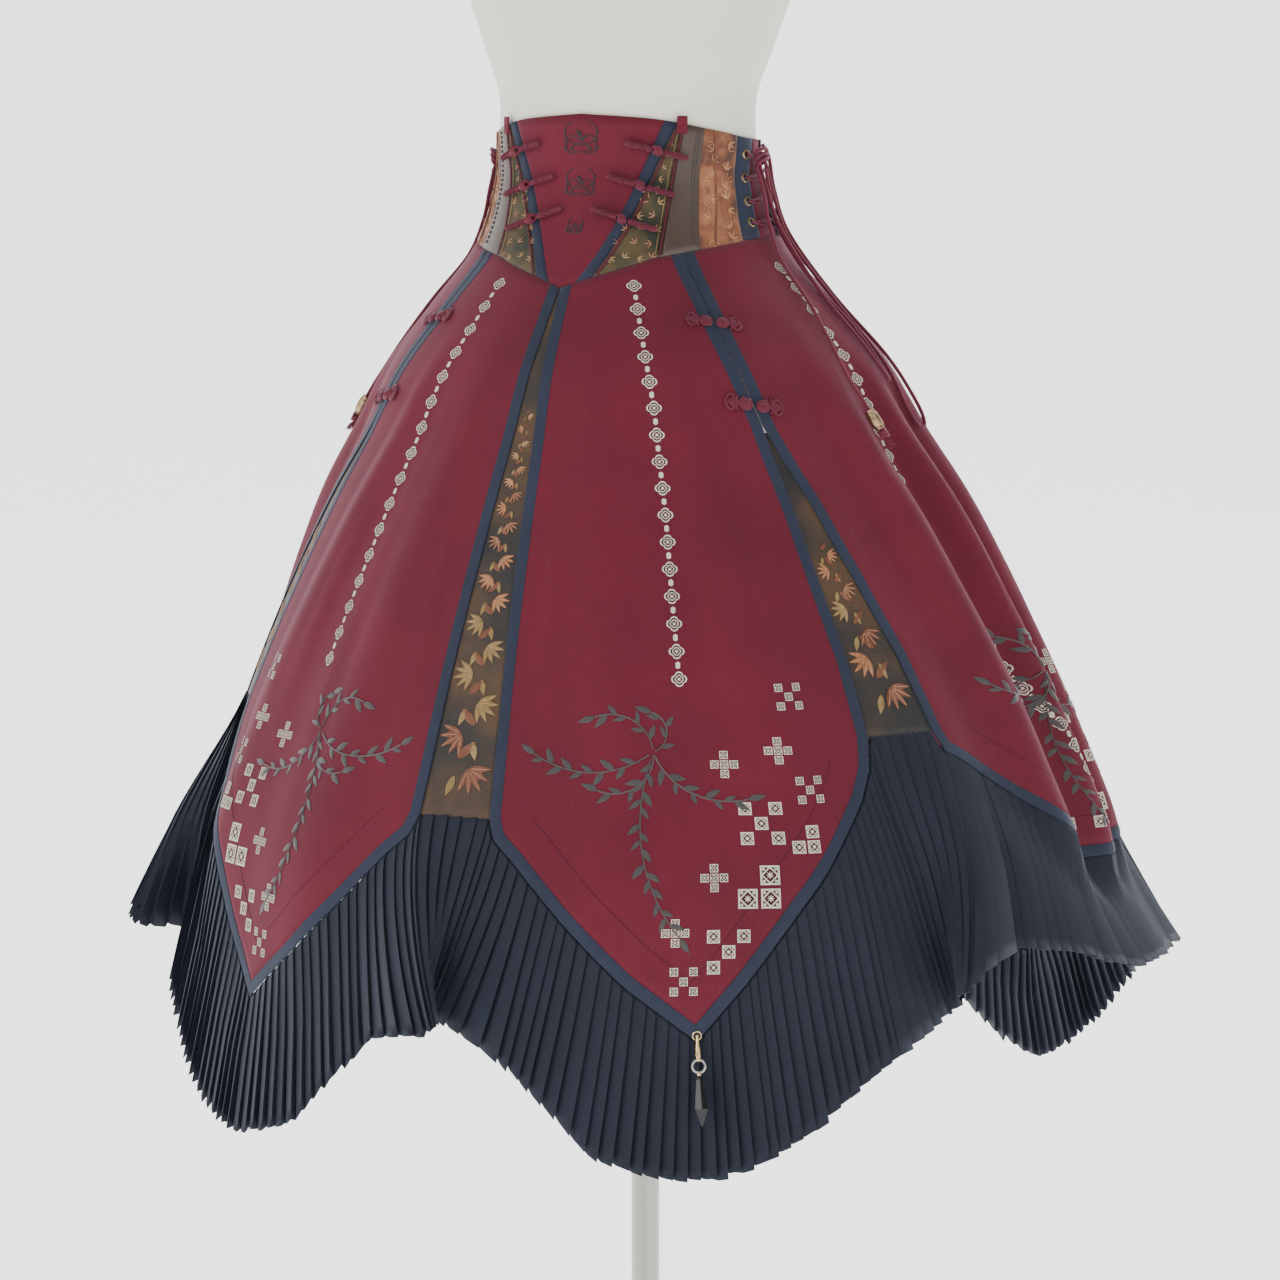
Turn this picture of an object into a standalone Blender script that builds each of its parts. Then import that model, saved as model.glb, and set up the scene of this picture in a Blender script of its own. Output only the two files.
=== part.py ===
"""A high-waisted corset skirt with six petals and a knife-pleated ruffle, worn on a limbless dress form.

Metres, +Z up. The front of the skirt faces -Y. The origin is on the floor, in the middle of the form's base.
Angles run round the body in degrees: 0 at the centre front, positive towards +X, 180 at the centre back.
"""

import math
from collections import namedtuple

import bmesh
import bpy
from mathutils import Matrix, Vector

# Driving sizes
CLOTH = 0.0013
BINDING_WIDTH = 0.010
BINDING_THICKNESS = 0.0017
BINDING_PROUD = 0.0006
SEAM = 0.0003
HALF_SEAM = 0.00025
INSERT_SUNK = 0.0010
RUFFLE_CLOTH = 0.0012
PLEATS_FRONT_HALF = 43
PLEATS_BACK_HALF = 56
PLEAT_DEPTH_TOP = 0.0014
PLEAT_DEPTH_HEM = 0.0032
CORD_RADIUS = 0.0016
POLE_RADIUS = 0.012
BASE_RADIUS = 0.175
FORM_BOTTOM = 0.880

# Half width, half depth and centre of the worn cloth at each height
Section = namedtuple("Section", "z half_width half_depth centre_y")
CLOTH_SECTIONS = [
    Section(0.240, 0.415, 0.405, 0.017),
    Section(0.330, 0.410, 0.400, 0.017),
    Section(0.450, 0.401, 0.390, 0.017),
    Section(0.542, 0.390, 0.376, 0.017),
    Section(0.628, 0.360, 0.344, 0.014),
    Section(0.730, 0.317, 0.300, 0.008),
    Section(0.832, 0.269, 0.248, 0.000),
    Section(0.883, 0.241, 0.218, -0.006),
    Section(0.934, 0.216, 0.190, -0.012),
    Section(0.985, 0.177, 0.150, -0.020),
    Section(1.036, 0.134, 0.108, -0.030),
    Section(1.070, 0.120, 0.092, -0.033),
    Section(1.100, 0.114, 0.085, -0.035),
    Section(1.160, 0.1135, 0.086, -0.034),
]
FORM_SECTIONS = [
    Section(0.880, 0.146, 0.106, -0.015),
    Section(0.892, 0.160, 0.118, -0.016),
    Section(0.930, 0.168, 0.127, -0.018),
    Section(0.970, 0.162, 0.124, -0.021),
    Section(1.005, 0.144, 0.116, -0.025),
    Section(1.200, 0.1260, 0.0940, -0.032),
    Section(1.244, 0.1410, 0.1040, -0.030),
    Section(1.310, 0.1530, 0.1170, -0.030),
    Section(1.370, 0.1530, 0.1080, -0.022),
    Section(1.420, 0.1500, 0.0840, -0.012),
    Section(1.445, 0.1220, 0.0680, -0.008),
    Section(1.462, 0.0760, 0.0560, -0.004),
    Section(1.480, 0.0590, 0.0520, -0.002),
    Section(1.525, 0.0550, 0.0500, 0.000),
    Section(1.532, 0.0480, 0.0430, 0.000),
]

# The form fills the corset with this clearance at these heights
FORM_CLEARANCE = 0.0025
FORM_WAIST_HEIGHTS = (1.036, 1.050, 1.065, 1.082, 1.100, 1.125, 1.150)

# Where the side-front slit lies round the body at each height
SlitPlace = namedtuple("SlitPlace", "z angle")
SIDE_FRONT_SLIT = [
    SlitPlace(0.55, 60.0),
    SlitPlace(0.66, 59.5),
    SlitPlace(0.80, 54.0),
    SlitPlace(0.91, 47.5),
    SlitPlace(0.98, 43.0),
    SlitPlace(1.04, 40.0),
]

# Each slit: petal rows down to where it opens, how fast it opens, and the height of its insert's lower edge
Slit = namedtuple("Slit", "closed_rows opening_rate insert_bottom")
SLITS = {
    0: Slit(0, 0.075, 0.596),
    60: Slit(3, 0.130, 0.656),
    120: Slit(3, 0.100, 0.566),
    180: Slit(1, 0.072, 0.585),
}

# Lower edge of each petal, corner to corner through its tip, by place round the body
EdgePoint = namedtuple("EdgePoint", "angle z")
FRONT_EDGE = [
    EdgePoint(4.6, 0.596),
    EdgePoint(5.6, 0.581),
    EdgePoint(8.5, 0.564),
    EdgePoint(14.5, 0.522),
    EdgePoint(21.8, 0.475),
    EdgePoint(30.0, 0.432),
    EdgePoint(35.6, 0.475),
    EdgePoint(42.4, 0.535),
    EdgePoint(49.5, 0.592),
    EdgePoint(51.6, 0.610),
    EdgePoint(53.4, 0.632),
    EdgePoint(54.2, 0.656),
]
SIDE_EDGE = [
    EdgePoint(64.8, 0.656),
    EdgePoint(66.0, 0.641),
    EdgePoint(69.5, 0.630),
    EdgePoint(75.5, 0.606),
    EdgePoint(81.5, 0.580),
    EdgePoint(92.0, 0.535),
    EdgePoint(98.0, 0.536),
    EdgePoint(105.0, 0.539),
    EdgePoint(111.5, 0.543),
    EdgePoint(114.3, 0.552),
    EdgePoint(115.3, 0.566),
]
BACK_EDGE = [
    EdgePoint(124.7, 0.566),
    EdgePoint(125.6, 0.548),
    EdgePoint(129.0, 0.522),
    EdgePoint(135.0, 0.480),
    EdgePoint(142.0, 0.434),
    EdgePoint(150.0, 0.385),
    EdgePoint(158.0, 0.434),
    EdgePoint(165.0, 0.480),
    EdgePoint(171.0, 0.528),
    EdgePoint(174.2, 0.560),
    EdgePoint(175.4, 0.585),
]
PETALS = {
    "front": (0, 60, FRONT_EDGE),
    "side": (60, 120, SIDE_EDGE),
    "back": (120, 180, BACK_EDGE),
}
PETAL_TIPS = (30.0, 92.0, 150.0)
# Share of the way down each petal at which its rows lie
PETAL_ROWS = (0.0, 0.10, 0.22, 0.36, 0.52, 0.68, 0.84, 1.0)
WIDEST_COLUMN = 6.5

# Soft folds of the petals: where each starts and ends round the body, how far it stands out, half its width
Fold = namedtuple("Fold", "top_angle hem_angle height half_width")
FOLDS = [
    Fold(17, 20, 0.0035, 8),
    Fold(40, 44, 0.0045, 6),
    Fold(30, 33, -0.0030, 7),
    Fold(71, 74, -0.0040, 6),
    Fold(77, 84, 0.0140, 6),
    Fold(85, 92, -0.0120, 6),
    Fold(92, 97, 0.0120, 5.5),
    Fold(98, 102, -0.0080, 4),
    Fold(104, 107, 0.0090, 5),
    Fold(132, 134, 0.0080, 6.5),
    Fold(141, 142, -0.0050, 7),
    Fold(151, 151, 0.0070, 9),
    Fold(167, 167, 0.0070, 6.5),
]
FOLDS_START = 1.000
FOLDS_FULL = 0.800

# Lower edge of the ruffle: height and flare beyond the line of the petals
HemPoint = namedtuple("HemPoint", "angle z flare")
HEM = [
    HemPoint(0, 0.448, 0.012),
    HemPoint(6, 0.428, 0.010),
    HemPoint(13, 0.384, 0.008),
    HemPoint(20, 0.340, 0.008),
    HemPoint(30, 0.326, 0.008),
    HemPoint(39, 0.347, 0.010),
    HemPoint(51, 0.410, 0.014),
    HemPoint(60, 0.455, 0.022),
    HemPoint(69, 0.490, 0.030),
    HemPoint(80, 0.472, 0.034),
    HemPoint(92, 0.450, 0.036),
    HemPoint(105, 0.446, 0.038),
    HemPoint(116, 0.434, 0.038),
    HemPoint(124, 0.410, 0.030),
    HemPoint(135, 0.345, 0.014),
    HemPoint(150, 0.290, 0.010),
    HemPoint(165, 0.345, 0.010),
    HemPoint(180, 0.440, 0.012),
]
HEM_FAN = 0.30
RUFFLE_DROP = 0.0021
RUFFLE_JOINT = 72.0
RUFFLE_GAP = 0.06

# Where the ruffle gathers under a slit it doubles back on itself: one side lies over the other
Swirl = namedtuple("Swirl", "angle outer_side height overlap half_width")
SWIRLS = [
    Swirl(-120, 1, 0.020, 4.5, 10),
    Swirl(-60, -1, 0.026, 5.0, 11),
    Swirl(0, -1, 0.024, 5.0, 11),
    Swirl(60, 1, 0.026, 5.0, 11),
    Swirl(120, -1, 0.020, 4.5, 10),
]

# Upper edge of the corset and the seam between corset and skirt
EdgeHeight = namedtuple("EdgeHeight", "angle z")
CORSET_TOP = [
    EdgeHeight(0, 1.143),
    EdgeHeight(30, 1.139),
    EdgeHeight(60, 1.130),
    EdgeHeight(90, 1.123),
    EdgeHeight(180, 1.121),
]
WAIST_SEAM = [
    EdgeHeight(0, 1.003),
    EdgeHeight(7, 1.010),
    EdgeHeight(30, 1.027),
    EdgeHeight(48, 1.034),
    EdgeHeight(70, 1.041),
    EdgeHeight(90, 1.045),
    EdgeHeight(180, 1.045),
]

# Vertical seams of the corset, centre front to side: place at the waist seam and at the top
CorsetSeam = namedtuple("CorsetSeam", "low_angle top_angle")
V_INNER = CorsetSeam(4.4, 36.5)
V_OUTER = CorsetSeam(9.6, 42.2)
PRINT_FRONT_SIDE = CorsetSeam(31.8, 45.2)
SATIN_SIDE = CorsetSeam(47.6, 56.0)
PRINT_SIDE_SIDE = CorsetSeam(68.2, 76.5)
EYELET_STRIP_SIDE = CorsetSeam(80.0, 91.0)
REAR_STRIP_FRONT = CorsetSeam(98.0, 106.0)
REAR_STRIP_REAR = CorsetSeam(108.5, 117.5)
REAR_STRIP_TRIM = 0.001
CORSET_WALL = 0.0013
CORSET_ROWS = 5
SEAM_ANGLE = 0.17

# Belt loops over the top edge, beside each V binding
BELT_LOOP_ANGLE = V_OUTER.top_angle + 2.2
BELT_LOOP_HALF = 2.4
BELT_LOOP_ABOVE = 0.006
BELT_LOOP_BELOW = 0.008
BELT_LOOP_OUT = 0.0021

# Coiled frogs across the front V: height, length and slope
CoilFrog = namedtuple("CoilFrog", "z angle length slope")
COIL_FROGS = [
    CoilFrog(1.113, 33.2, 0.050, -14),
    CoilFrog(1.085, 25.9, 0.054, -16),
    CoilFrog(1.058, 18.9, 0.054, -18),
]
COIL_STEPS = 10
COIL_KNOT_SHARE = 0.2
COIL_END_SCALE = 0.7
COIL_GAP = 0.0008
COIL_BAR_RADIUS = 0.0027
COIL_KNOT_RADIUS = 0.0047

# Flower frogs across the side-front slit; off is how far the back stands off the line of the binding
FlowerFrog = namedtuple("FlowerFrog", "z width height off")
FLOWER_FROGS = [FlowerFrog(0.977, 0.046, 0.021, 0.0005), FlowerFrog(0.912, 0.050, 0.023, -0.0001)]
FLOWER_FROG_DEPTH = 0.005
FLOWER_STEPS = 24
# Each layer of a flower frog: its scale and its share of the depth
FlowerLayer = namedtuple("FlowerLayer", "scale rise")
FLOWER_LAYERS = [FlowerLayer(0.92, 0.0), FlowerLayer(1.0, 0.35), FlowerLayer(0.72, 1.0)]

# Lacing holes of the eyelet strips, top to bottom: height, and place round the body in front and rear strip
LacingHole = namedtuple("LacingHole", "z front rear")
LACING_HOLES = [
    LacingHole(1.110, 82.8, 107.8),
    LacingHole(1.091, 80.9, 105.8),
    LacingHole(1.072, 79.0, 103.8),
    LacingHole(1.055, 77.3, 102.0),
]
# The cord's way from one pair of holes to the next: share of the way across, drop and distance off the cloth
LacingStep = namedtuple("LacingStep", "across drop off")
LACING_STEPS = [
    LacingStep(0.0, 0.0, 0.0024),
    LacingStep(0.56, 0.005, 0.0050),
    LacingStep(1.0, 0.0075, 0.0060),
    LacingStep(1.0, 0.0115, 0.0060),
    LacingStep(0.56, 0.0145, 0.0050),
]
# Routes of the hanging cords: place round the body, height and how far the cord stands off the cloth
CordPoint = namedtuple("CordPoint", "angle z off")
BOW_LOOP_LONG = [
    CordPoint(88.5, 1.112, 0.008),
    CordPoint(92, 1.100, 0.012),
    CordPoint(94, 1.075, 0.0120),
    CordPoint(94.5, 1.040, 0.0110),
    CordPoint(95, 0.990, 0.0056),
    CordPoint(95.5, 0.940, 0.0056),
    CordPoint(96, 0.905, 0.0056),
    CordPoint(97.2, 0.888, 0.0056),
    CordPoint(99, 0.890, 0.0056),
    CordPoint(100, 0.908, 0.0056),
    CordPoint(99.5, 0.945, 0.0056),
    CordPoint(99, 0.995, 0.0056),
    CordPoint(98.5, 1.045, 0.0110),
    CordPoint(97.5, 1.080, 0.012),
    CordPoint(95, 1.108, 0.012),
    CordPoint(91, 1.118, 0.009),
]
BOW_LOOP_SHORT = [
    CordPoint(88.0, 1.105, 0.008),
    CordPoint(90, 1.085, 0.010),
    CordPoint(90.5, 1.050, 0.0110),
    CordPoint(90.0, 1.000, 0.0056),
    CordPoint(89.3, 0.960, 0.0056),
    CordPoint(89.0, 0.940, 0.0056),
    CordPoint(90.0, 0.928, 0.0056),
    CordPoint(91.6, 0.930, 0.0056),
    CordPoint(92.4, 0.945, 0.0056),
    CordPoint(92.6, 0.970, 0.0056),
    CordPoint(92.5, 1.010, 0.0050),
    CordPoint(92.2, 1.050, 0.0080),
    CordPoint(91.8, 1.080, 0.0110),
    CordPoint(90.4, 1.098, 0.0125),
]
CORD_END = [
    CordPoint(86.0, 1.100, 0.0075),
    CordPoint(86.5, 1.080, 0.0100),
    CordPoint(85, 1.055, 0.0080),
    CordPoint(82, 1.025, 0.0050),
    CordPoint(78, 0.990, 0.0050),
    CordPoint(75, 0.955, 0.0056),
    CordPoint(74, 0.930, 0.0060),
    CordPoint(74.5, 0.912, 0.0090),
    CordPoint(74.8, 0.905, 0.0100),
]

# Bead, knot and fringe at a cord's end: radius, and distance along the cord
TurnedPoint = namedtuple("TurnedPoint", "radius along")
BEAD_PROFILE = [
    TurnedPoint(0.0, 0.0),
    TurnedPoint(0.0034, 0.0),
    TurnedPoint(0.0048, 0.0018),
    TurnedPoint(0.0048, 0.0162),
    TurnedPoint(0.0029, 0.0180),
    TurnedPoint(0.0024, 0.0189),
    TurnedPoint(0.0046, 0.0225),
    TurnedPoint(0.0024, 0.0270),
    TurnedPoint(0.0048, 0.0366),
    TurnedPoint(0.0, 0.0374),
]
BEAD_SIDES = 8

PENDANT_ANGLE = 30.0
PENDANT_TOP = 0.436
PENDANT_SLOPE = math.radians(-15.0)
PENDANT_TURN = math.radians(-4.0)
PENDANT_GAP = 0.0022
PENDANT_SIDES = 6
RING_RADIUS = 0.0050
RING_THICKNESS = 0.0009
RING_PLACE = -0.0225
CLASP_PROFILE = [
    TurnedPoint(0.0014, 0.002),
    TurnedPoint(0.0016, -0.004),
    TurnedPoint(0.0024, -0.009),
    TurnedPoint(0.0024, -0.014),
    TurnedPoint(0.0014, -0.019),
]
DROP_PROFILE = [
    TurnedPoint(0.0016, -0.027),
    TurnedPoint(0.0030, -0.033),
    TurnedPoint(0.0058, -0.056),
    TurnedPoint(0.0006, -0.069),
]

# Profile of the stand, top to floor, and how many sides the form and stand have
STAND_PROFILE = [
    TurnedPoint(0.0, FORM_BOTTOM - SEAM),
    TurnedPoint(0.030, FORM_BOTTOM - SEAM),
    TurnedPoint(0.030, FORM_BOTTOM - 0.0123),
    TurnedPoint(POLE_RADIUS, FORM_BOTTOM - 0.0303),
    TurnedPoint(POLE_RADIUS, 0.060),
    TurnedPoint(0.030, 0.026),
    TurnedPoint(BASE_RADIUS - 0.020, 0.016),
    TurnedPoint(BASE_RADIUS, 0.008),
    TurnedPoint(BASE_RADIUS, 0.0),
    TurnedPoint(0.0, 0.0),
]
FORM_SIDES = 26
STAND_SIDES = 28


def remove_everything():
    for thing in list(bpy.data.objects):
        bpy.data.objects.remove(thing, do_unlink=True)


def new_collection(name):
    collection = bpy.data.collections.new(name)
    bpy.context.scene.collection.children.link(collection)
    return collection


remove_everything()
PARTS = new_collection("corset_skirt_on_dress_form")
TOOLS = new_collection("cutters")


def make_material(name, colour, roughness, metallic=0.0):
    material = bpy.data.materials.new(name)
    material.use_nodes = True
    shader = material.node_tree.nodes["Principled BSDF"]
    shader.inputs["Base Color"].default_value = (*colour, 1.0)
    shader.inputs["Roughness"].default_value = roughness
    shader.inputs["Metallic"].default_value = metallic
    return material


BURGUNDY = make_material("burgundy_twill", (0.115, 0.012, 0.028), 0.75)
NAVY = make_material("navy_binding", (0.018, 0.026, 0.050), 0.7)
PLEAT_NAVY = make_material("navy_pleats", (0.010, 0.015, 0.030), 0.75)
DARK_PRINT = make_material("dark_printed_cloth", (0.060, 0.035, 0.020), 0.6)
OLIVE_SATIN = make_material("olive_satin", (0.055, 0.040, 0.018), 0.4)
CORD = make_material("burgundy_cord", (0.100, 0.010, 0.025), 0.6)
BRASS = make_material("antique_brass", (0.250, 0.170, 0.070), 0.45, 0.9)
DARK_GLASS = make_material("black_glass", (0.010, 0.010, 0.012), 0.15)
LINEN = make_material("cream_linen", (0.740, 0.710, 0.620), 0.7)
STAND_METAL = make_material("satin_steel", (0.500, 0.480, 0.440), 0.4, 0.8)


def smooth_value(points, x):
    """Reads a smooth curve through (x, value) pairs given in rising order of x."""
    if x <= points[0][0]:
        return points[0][1]
    if x >= points[-1][0]:
        return points[-1][1]
    i = max(k for k in range(len(points) - 1) if points[k][0] <= x)
    (x0, y0), (x1, y1) = points[i], points[i + 1]
    span = x1 - x0
    chord = (y1 - y0) / span
    before = chord if i == 0 else (y0 - points[i - 1][1]) / (x0 - points[i - 1][0])
    last = i + 2 >= len(points)
    after = chord if last else (points[i + 2][1] - y1) / (points[i + 2][0] - x1)
    m0 = 0.0 if before * chord <= 0 else 2 * before * chord / (before + chord)
    m1 = 0.0 if after * chord <= 0 else 2 * after * chord / (after + chord)
    s = (x - x0) / span
    return (
        y0 * (1 + 2 * s) * (1 - s) ** 2
        + m0 * span * s * (1 - s) ** 2
        + y1 * s * s * (3 - 2 * s)
        + m1 * span * s * s * (s - 1)
    )


def linear_value(points, x):
    if x <= points[0][0]:
        return points[0][1]
    for (x0, y0), (x1, y1) in zip(points, points[1:]):
        if x <= x1:
            return y0 + (y1 - y0) * (x - x0) / (x1 - x0)
    return points[-1][1]


def column(table, name):
    return [(row[0], getattr(row, name)) for row in table]


HALF_WIDTH = column(CLOTH_SECTIONS, "half_width")
HALF_DEPTH = column(CLOTH_SECTIONS, "half_depth")
CENTRE_Y = column(CLOTH_SECTIONS, "centre_y")
SLIT_LINE = column(SIDE_FRONT_SLIT, "angle")
HEM_Z = column(HEM, "z")
HEM_FLARE = column(HEM, "flare")
TOP_Z = column(CORSET_TOP, "z")
WAIST_Z = column(WAIST_SEAM, "z")


def section(z):
    return smooth_value(HALF_WIDTH, z), smooth_value(HALF_DEPTH, z), smooth_value(CENTRE_Y, z)


def metres_per_degree(angle, z):
    a, b, _ = section(z)
    t = math.radians(angle)
    return math.radians(1.0) * math.hypot(a * math.cos(t), b * math.sin(t))


def slope_length(z):
    """Length along the cloth for a metre of height."""
    step = 0.01
    rise = (section(z + step)[0] - section(z - step)[0]) / (2 * step)
    return math.hypot(1.0, rise)


def nominal_angle(angle, z):
    """The place that an angle at this height has where the side-front slit has come round to 60 degrees."""
    side = abs(angle)
    slit = smooth_value(SLIT_LINE, z)
    if side < slit:
        return 60 * side / slit
    if side < 120:
        return 60 + 60 * (side - slit) / (120 - slit)
    return side


def fold_offset(angle, z):
    if z >= FOLDS_START:
        return 0.0
    place = nominal_angle(angle, z)
    down = min(1.0, (FOLDS_START - z) / (FOLDS_START - FOLDS_FULL))
    travel = min(1.0, (FOLDS_START - z) / 0.45)
    total = 0.0
    for fold in FOLDS:
        middle = fold.top_angle + (fold.hem_angle - fold.top_angle) * travel
        away = abs(place - middle) / fold.half_width
        if away < 1:
            total += fold.height * math.cos(away * math.pi / 2) ** 2
    return total * down * down * (3 - 2 * down)


def cloth_point(angle, z, out=0.0, folded=True):
    """A point of the worn cloth, moved out level by a distance."""
    a, b, centre = section(z)
    t = math.radians(angle)
    normal = Vector((b * math.sin(t), -a * math.cos(t), 0.0)).normalized()
    lift = out + (fold_offset(angle, z) if folded else 0.0)
    return Vector((a * math.sin(t), centre - b * math.cos(t), z)) + normal * lift


def cloth_frame(angle, z, out):
    """A frame on the cloth: X round the body, Y up the cloth, Z straight out of it."""
    step = 0.4
    place = cloth_point(angle, z, out)
    across = (cloth_point(angle + step, z, out) - cloth_point(angle - step, z, out)).normalized()
    up = (cloth_point(angle, z + 0.004, out) - cloth_point(angle, z - 0.004, out)).normalized()
    normal = across.cross(up).normalized()
    up = normal.cross(across)
    turn = Matrix((across, up, normal)).transposed().to_4x4()
    return Matrix.Translation(place) @ turn


def mirrored(point):
    return Vector((-point.x, point.y, point.z))


def add_object(name, mesh, material, collection=PARTS):
    thing = bpy.data.objects.new(name, mesh)
    mesh.materials.append(material)
    collection.objects.link(thing)
    return thing


def mesh_from(name, points, faces, smooth=True):
    mesh = bpy.data.meshes.new(name)
    mesh.from_pydata([tuple(p) for p in points], [], faces)
    mesh.update()
    if smooth:
        mesh.shade_smooth()
        mesh.set_sharp_from_angle(angle=math.radians(40))
    return mesh


def cloth_wall(name, rows, material, thickness=CLOTH, mirror=False):
    """A wall inwards from rows of points, given top to bottom and left to right as seen from outside."""
    if mirror:
        rows = [[mirrored(p) for p in reversed(row)] for row in rows]
    wide = len(rows[0])
    points = [p for row in rows for p in row]
    faces = []
    for r in range(len(rows) - 1):
        for c in range(wide - 1):
            corner = r * wide + c
            faces.append((corner, corner + wide, corner + wide + 1, corner + 1))
    thing = add_object(name, mesh_from(name, points, faces), material)
    wall = thing.modifiers.new("wall", "SOLIDIFY")
    wall.thickness = thickness
    wall.offset = -1.0
    return thing


def both_sides(name, rows, material, thickness=CLOTH):
    cloth_wall(name + "_r", rows, material, thickness)
    cloth_wall(name + "_l", rows, material, thickness, mirror=True)


def slit_angle(slit, z):
    return smooth_value(SLIT_LINE, z) if slit == 60 else float(slit)


def from_front(angle):
    """Degrees between a place and the centre front, the shorter way round."""
    return 180 - abs(180 - abs(angle))


def waist_z(angle):
    return linear_value(WAIST_Z, from_front(angle))


def top_z(angle):
    return smooth_value(TOP_Z, from_front(angle))


def slit_top(slit):
    return waist_z(slit_angle(slit, 1.03)) - 2 * HALF_SEAM


def slit_row_z(slit, share):
    top = slit_top(slit)
    return top + (SLITS[slit].insert_bottom - top) * share


def slit_open(slit, z):
    """Half the gap between the two edges of a slit."""
    row = SLITS[slit]
    start = slit_row_z(slit, PETAL_ROWS[row.closed_rows])
    return max(0.0, row.opening_rate * (start - max(z, row.insert_bottom)))


def petal_side(slit, z, direction):
    """Angle of a petal's outer edge beside a slit; direction is 1 on the slit's far side."""
    middle = slit_angle(slit, z)
    reach = slit_open(slit, z) + HALF_SEAM
    return middle + direction * reach / metres_per_degree(middle, z)


def lower_edge(edge):
    """The petal's lower edge with long stretches divided."""
    points = [(edge[0].angle, edge[0].z)]
    for first, second in zip(edge, edge[1:]):
        parts = math.ceil((second.angle - first.angle) / WIDEST_COLUMN)
        for k in range(1, parts + 1):
            share = k / parts
            angle = first.angle + (second.angle - first.angle) * share
            points.append((angle, first.z + (second.z - first.z) * share))
    return points


def inset_line(points, distance):
    """Moves an open line of (angle, z) points sideways over the cloth, to its left as it runs."""
    moved = []
    for i, (angle, z) in enumerate(points):
        across = metres_per_degree(angle, z)
        along = slope_length(z)
        normals = []
        for j, k in ((i - 1, i), (i, i + 1)):
            if j < 0 or k >= len(points):
                continue
            dx = (points[k][0] - points[j][0]) * across
            dy = (points[k][1] - points[j][1]) * along
            length = math.hypot(dx, dy)
            normals.append((-dy / length, dx / length))
        nx = sum(n[0] for n in normals)
        ny = sum(n[1] for n in normals)
        scale = distance * len(normals) / (nx * nx + ny * ny)
        moved.append((angle + nx * scale / across, z + ny * scale / along))
    return moved


def petal_outline(kind):
    """The petal's edge, down one side and up the other, and where its lower edge starts and how long it is."""
    left, right, edge = PETALS[kind]
    down = [slit_row_z(left, share) for share in PETAL_ROWS]
    up = [slit_row_z(right, share) for share in reversed(PETAL_ROWS)]
    bottom = lower_edge(edge)
    bottom[0] = (petal_side(left, bottom[0][1], 1), bottom[0][1])
    bottom[-1] = (petal_side(right, bottom[-1][1], -1), bottom[-1][1])
    line = [(petal_side(left, z, 1), z) for z in down[:-1]]
    line += bottom
    line += [(petal_side(right, z, -1), z) for z in up[1:]]
    return line, len(down) - 1, len(bottom)


def petal_line(kind, distance):
    """The petal's outline moved in by a distance, its two ends on the waist seam."""
    line = inset_line(petal_outline(kind)[0], distance)
    for end in (0, -1):
        angle = line[end][0]
        line[end] = (angle, waist_z(angle) - 2 * HALF_SEAM)
    return line


def petal_grid(kind, distance):
    """Rows of (angle, z) over the petal, its edge a distance in from the petal's outline."""
    _, first, count = petal_outline(kind)
    line = petal_line(kind, distance)
    bottom = line[first : first + count]
    left = line[: first + 1]
    right = list(reversed(line[first + count - 1 :]))
    span = bottom[-1][0] - bottom[0][0]
    shares = [(angle - bottom[0][0]) / span for angle, _ in bottom]
    rows = []
    for j, down in enumerate(PETAL_ROWS):
        row = []
        for i, share in enumerate(shares):
            angle = left[j][0] + (right[j][0] - left[j][0]) * share
            top_angle = left[0][0] + (right[0][0] - left[0][0]) * share
            top = waist_z(top_angle) - 2 * HALF_SEAM
            row.append((angle, top + (bottom[i][1] - top) * down))
        rows.append(row)
    for j in range(len(PETAL_ROWS)):
        rows[j][0] = left[j]
        rows[j][-1] = right[j]
    return rows


def on_cloth(rows, out=0.0):
    return [[cloth_point(angle, z, out) for angle, z in row] for row in rows]


def make_petals():
    for kind in PETALS:
        grid = petal_grid(kind, BINDING_WIDTH + SEAM)
        both_sides("petal_" + kind, on_cloth(grid), BURGUNDY)


def make_petal_bindings():
    for kind in PETALS:
        outline, _, _ = petal_outline(kind)
        inner = petal_line(kind, BINDING_WIDTH)
        rows = on_cloth([inner, outline], BINDING_PROUD)
        both_sides("petal_binding_" + kind, rows, NAVY, BINDING_THICKNESS)


def insert_grid(slit):
    row = SLITS[slit]
    shares = list(PETAL_ROWS[row.closed_rows :])
    shares[0] = shares[0] + (shares[1] - shares[0]) * 0.25
    rows = []
    for share in shares:
        z = slit_row_z(slit, share)
        middle = slit_angle(slit, z)
        reach = (slit_open(slit, z) - HALF_SEAM) / metres_per_degree(middle, z)
        rows.append([(middle + reach * side, z) for side in (-1.0, -0.33, 0.33, 1.0)])
    return rows


def make_inserts():
    cloth_wall("insert_front", on_cloth(insert_grid(0), -INSERT_SUNK), DARK_PRINT)
    cloth_wall("insert_back", on_cloth(insert_grid(180), -INSERT_SUNK), DARK_PRINT)
    both_sides("insert_side_front", on_cloth(insert_grid(60), -INSERT_SUNK), DARK_PRINT)
    both_sides("insert_side_back", on_cloth(insert_grid(120), -INSERT_SUNK), DARK_PRINT)


def ruffle_seam():
    """The seam that carries the ruffle, right half, from the centre front to the centre back."""
    line = [(0.0, SLITS[0].insert_bottom)]
    for kind in PETALS:
        outline, first, count = petal_outline(kind)
        line += outline[first : first + count]
    line.append((180.0, SLITS[180].insert_bottom))
    return inset_line(line, -RUFFLE_DROP)


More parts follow.
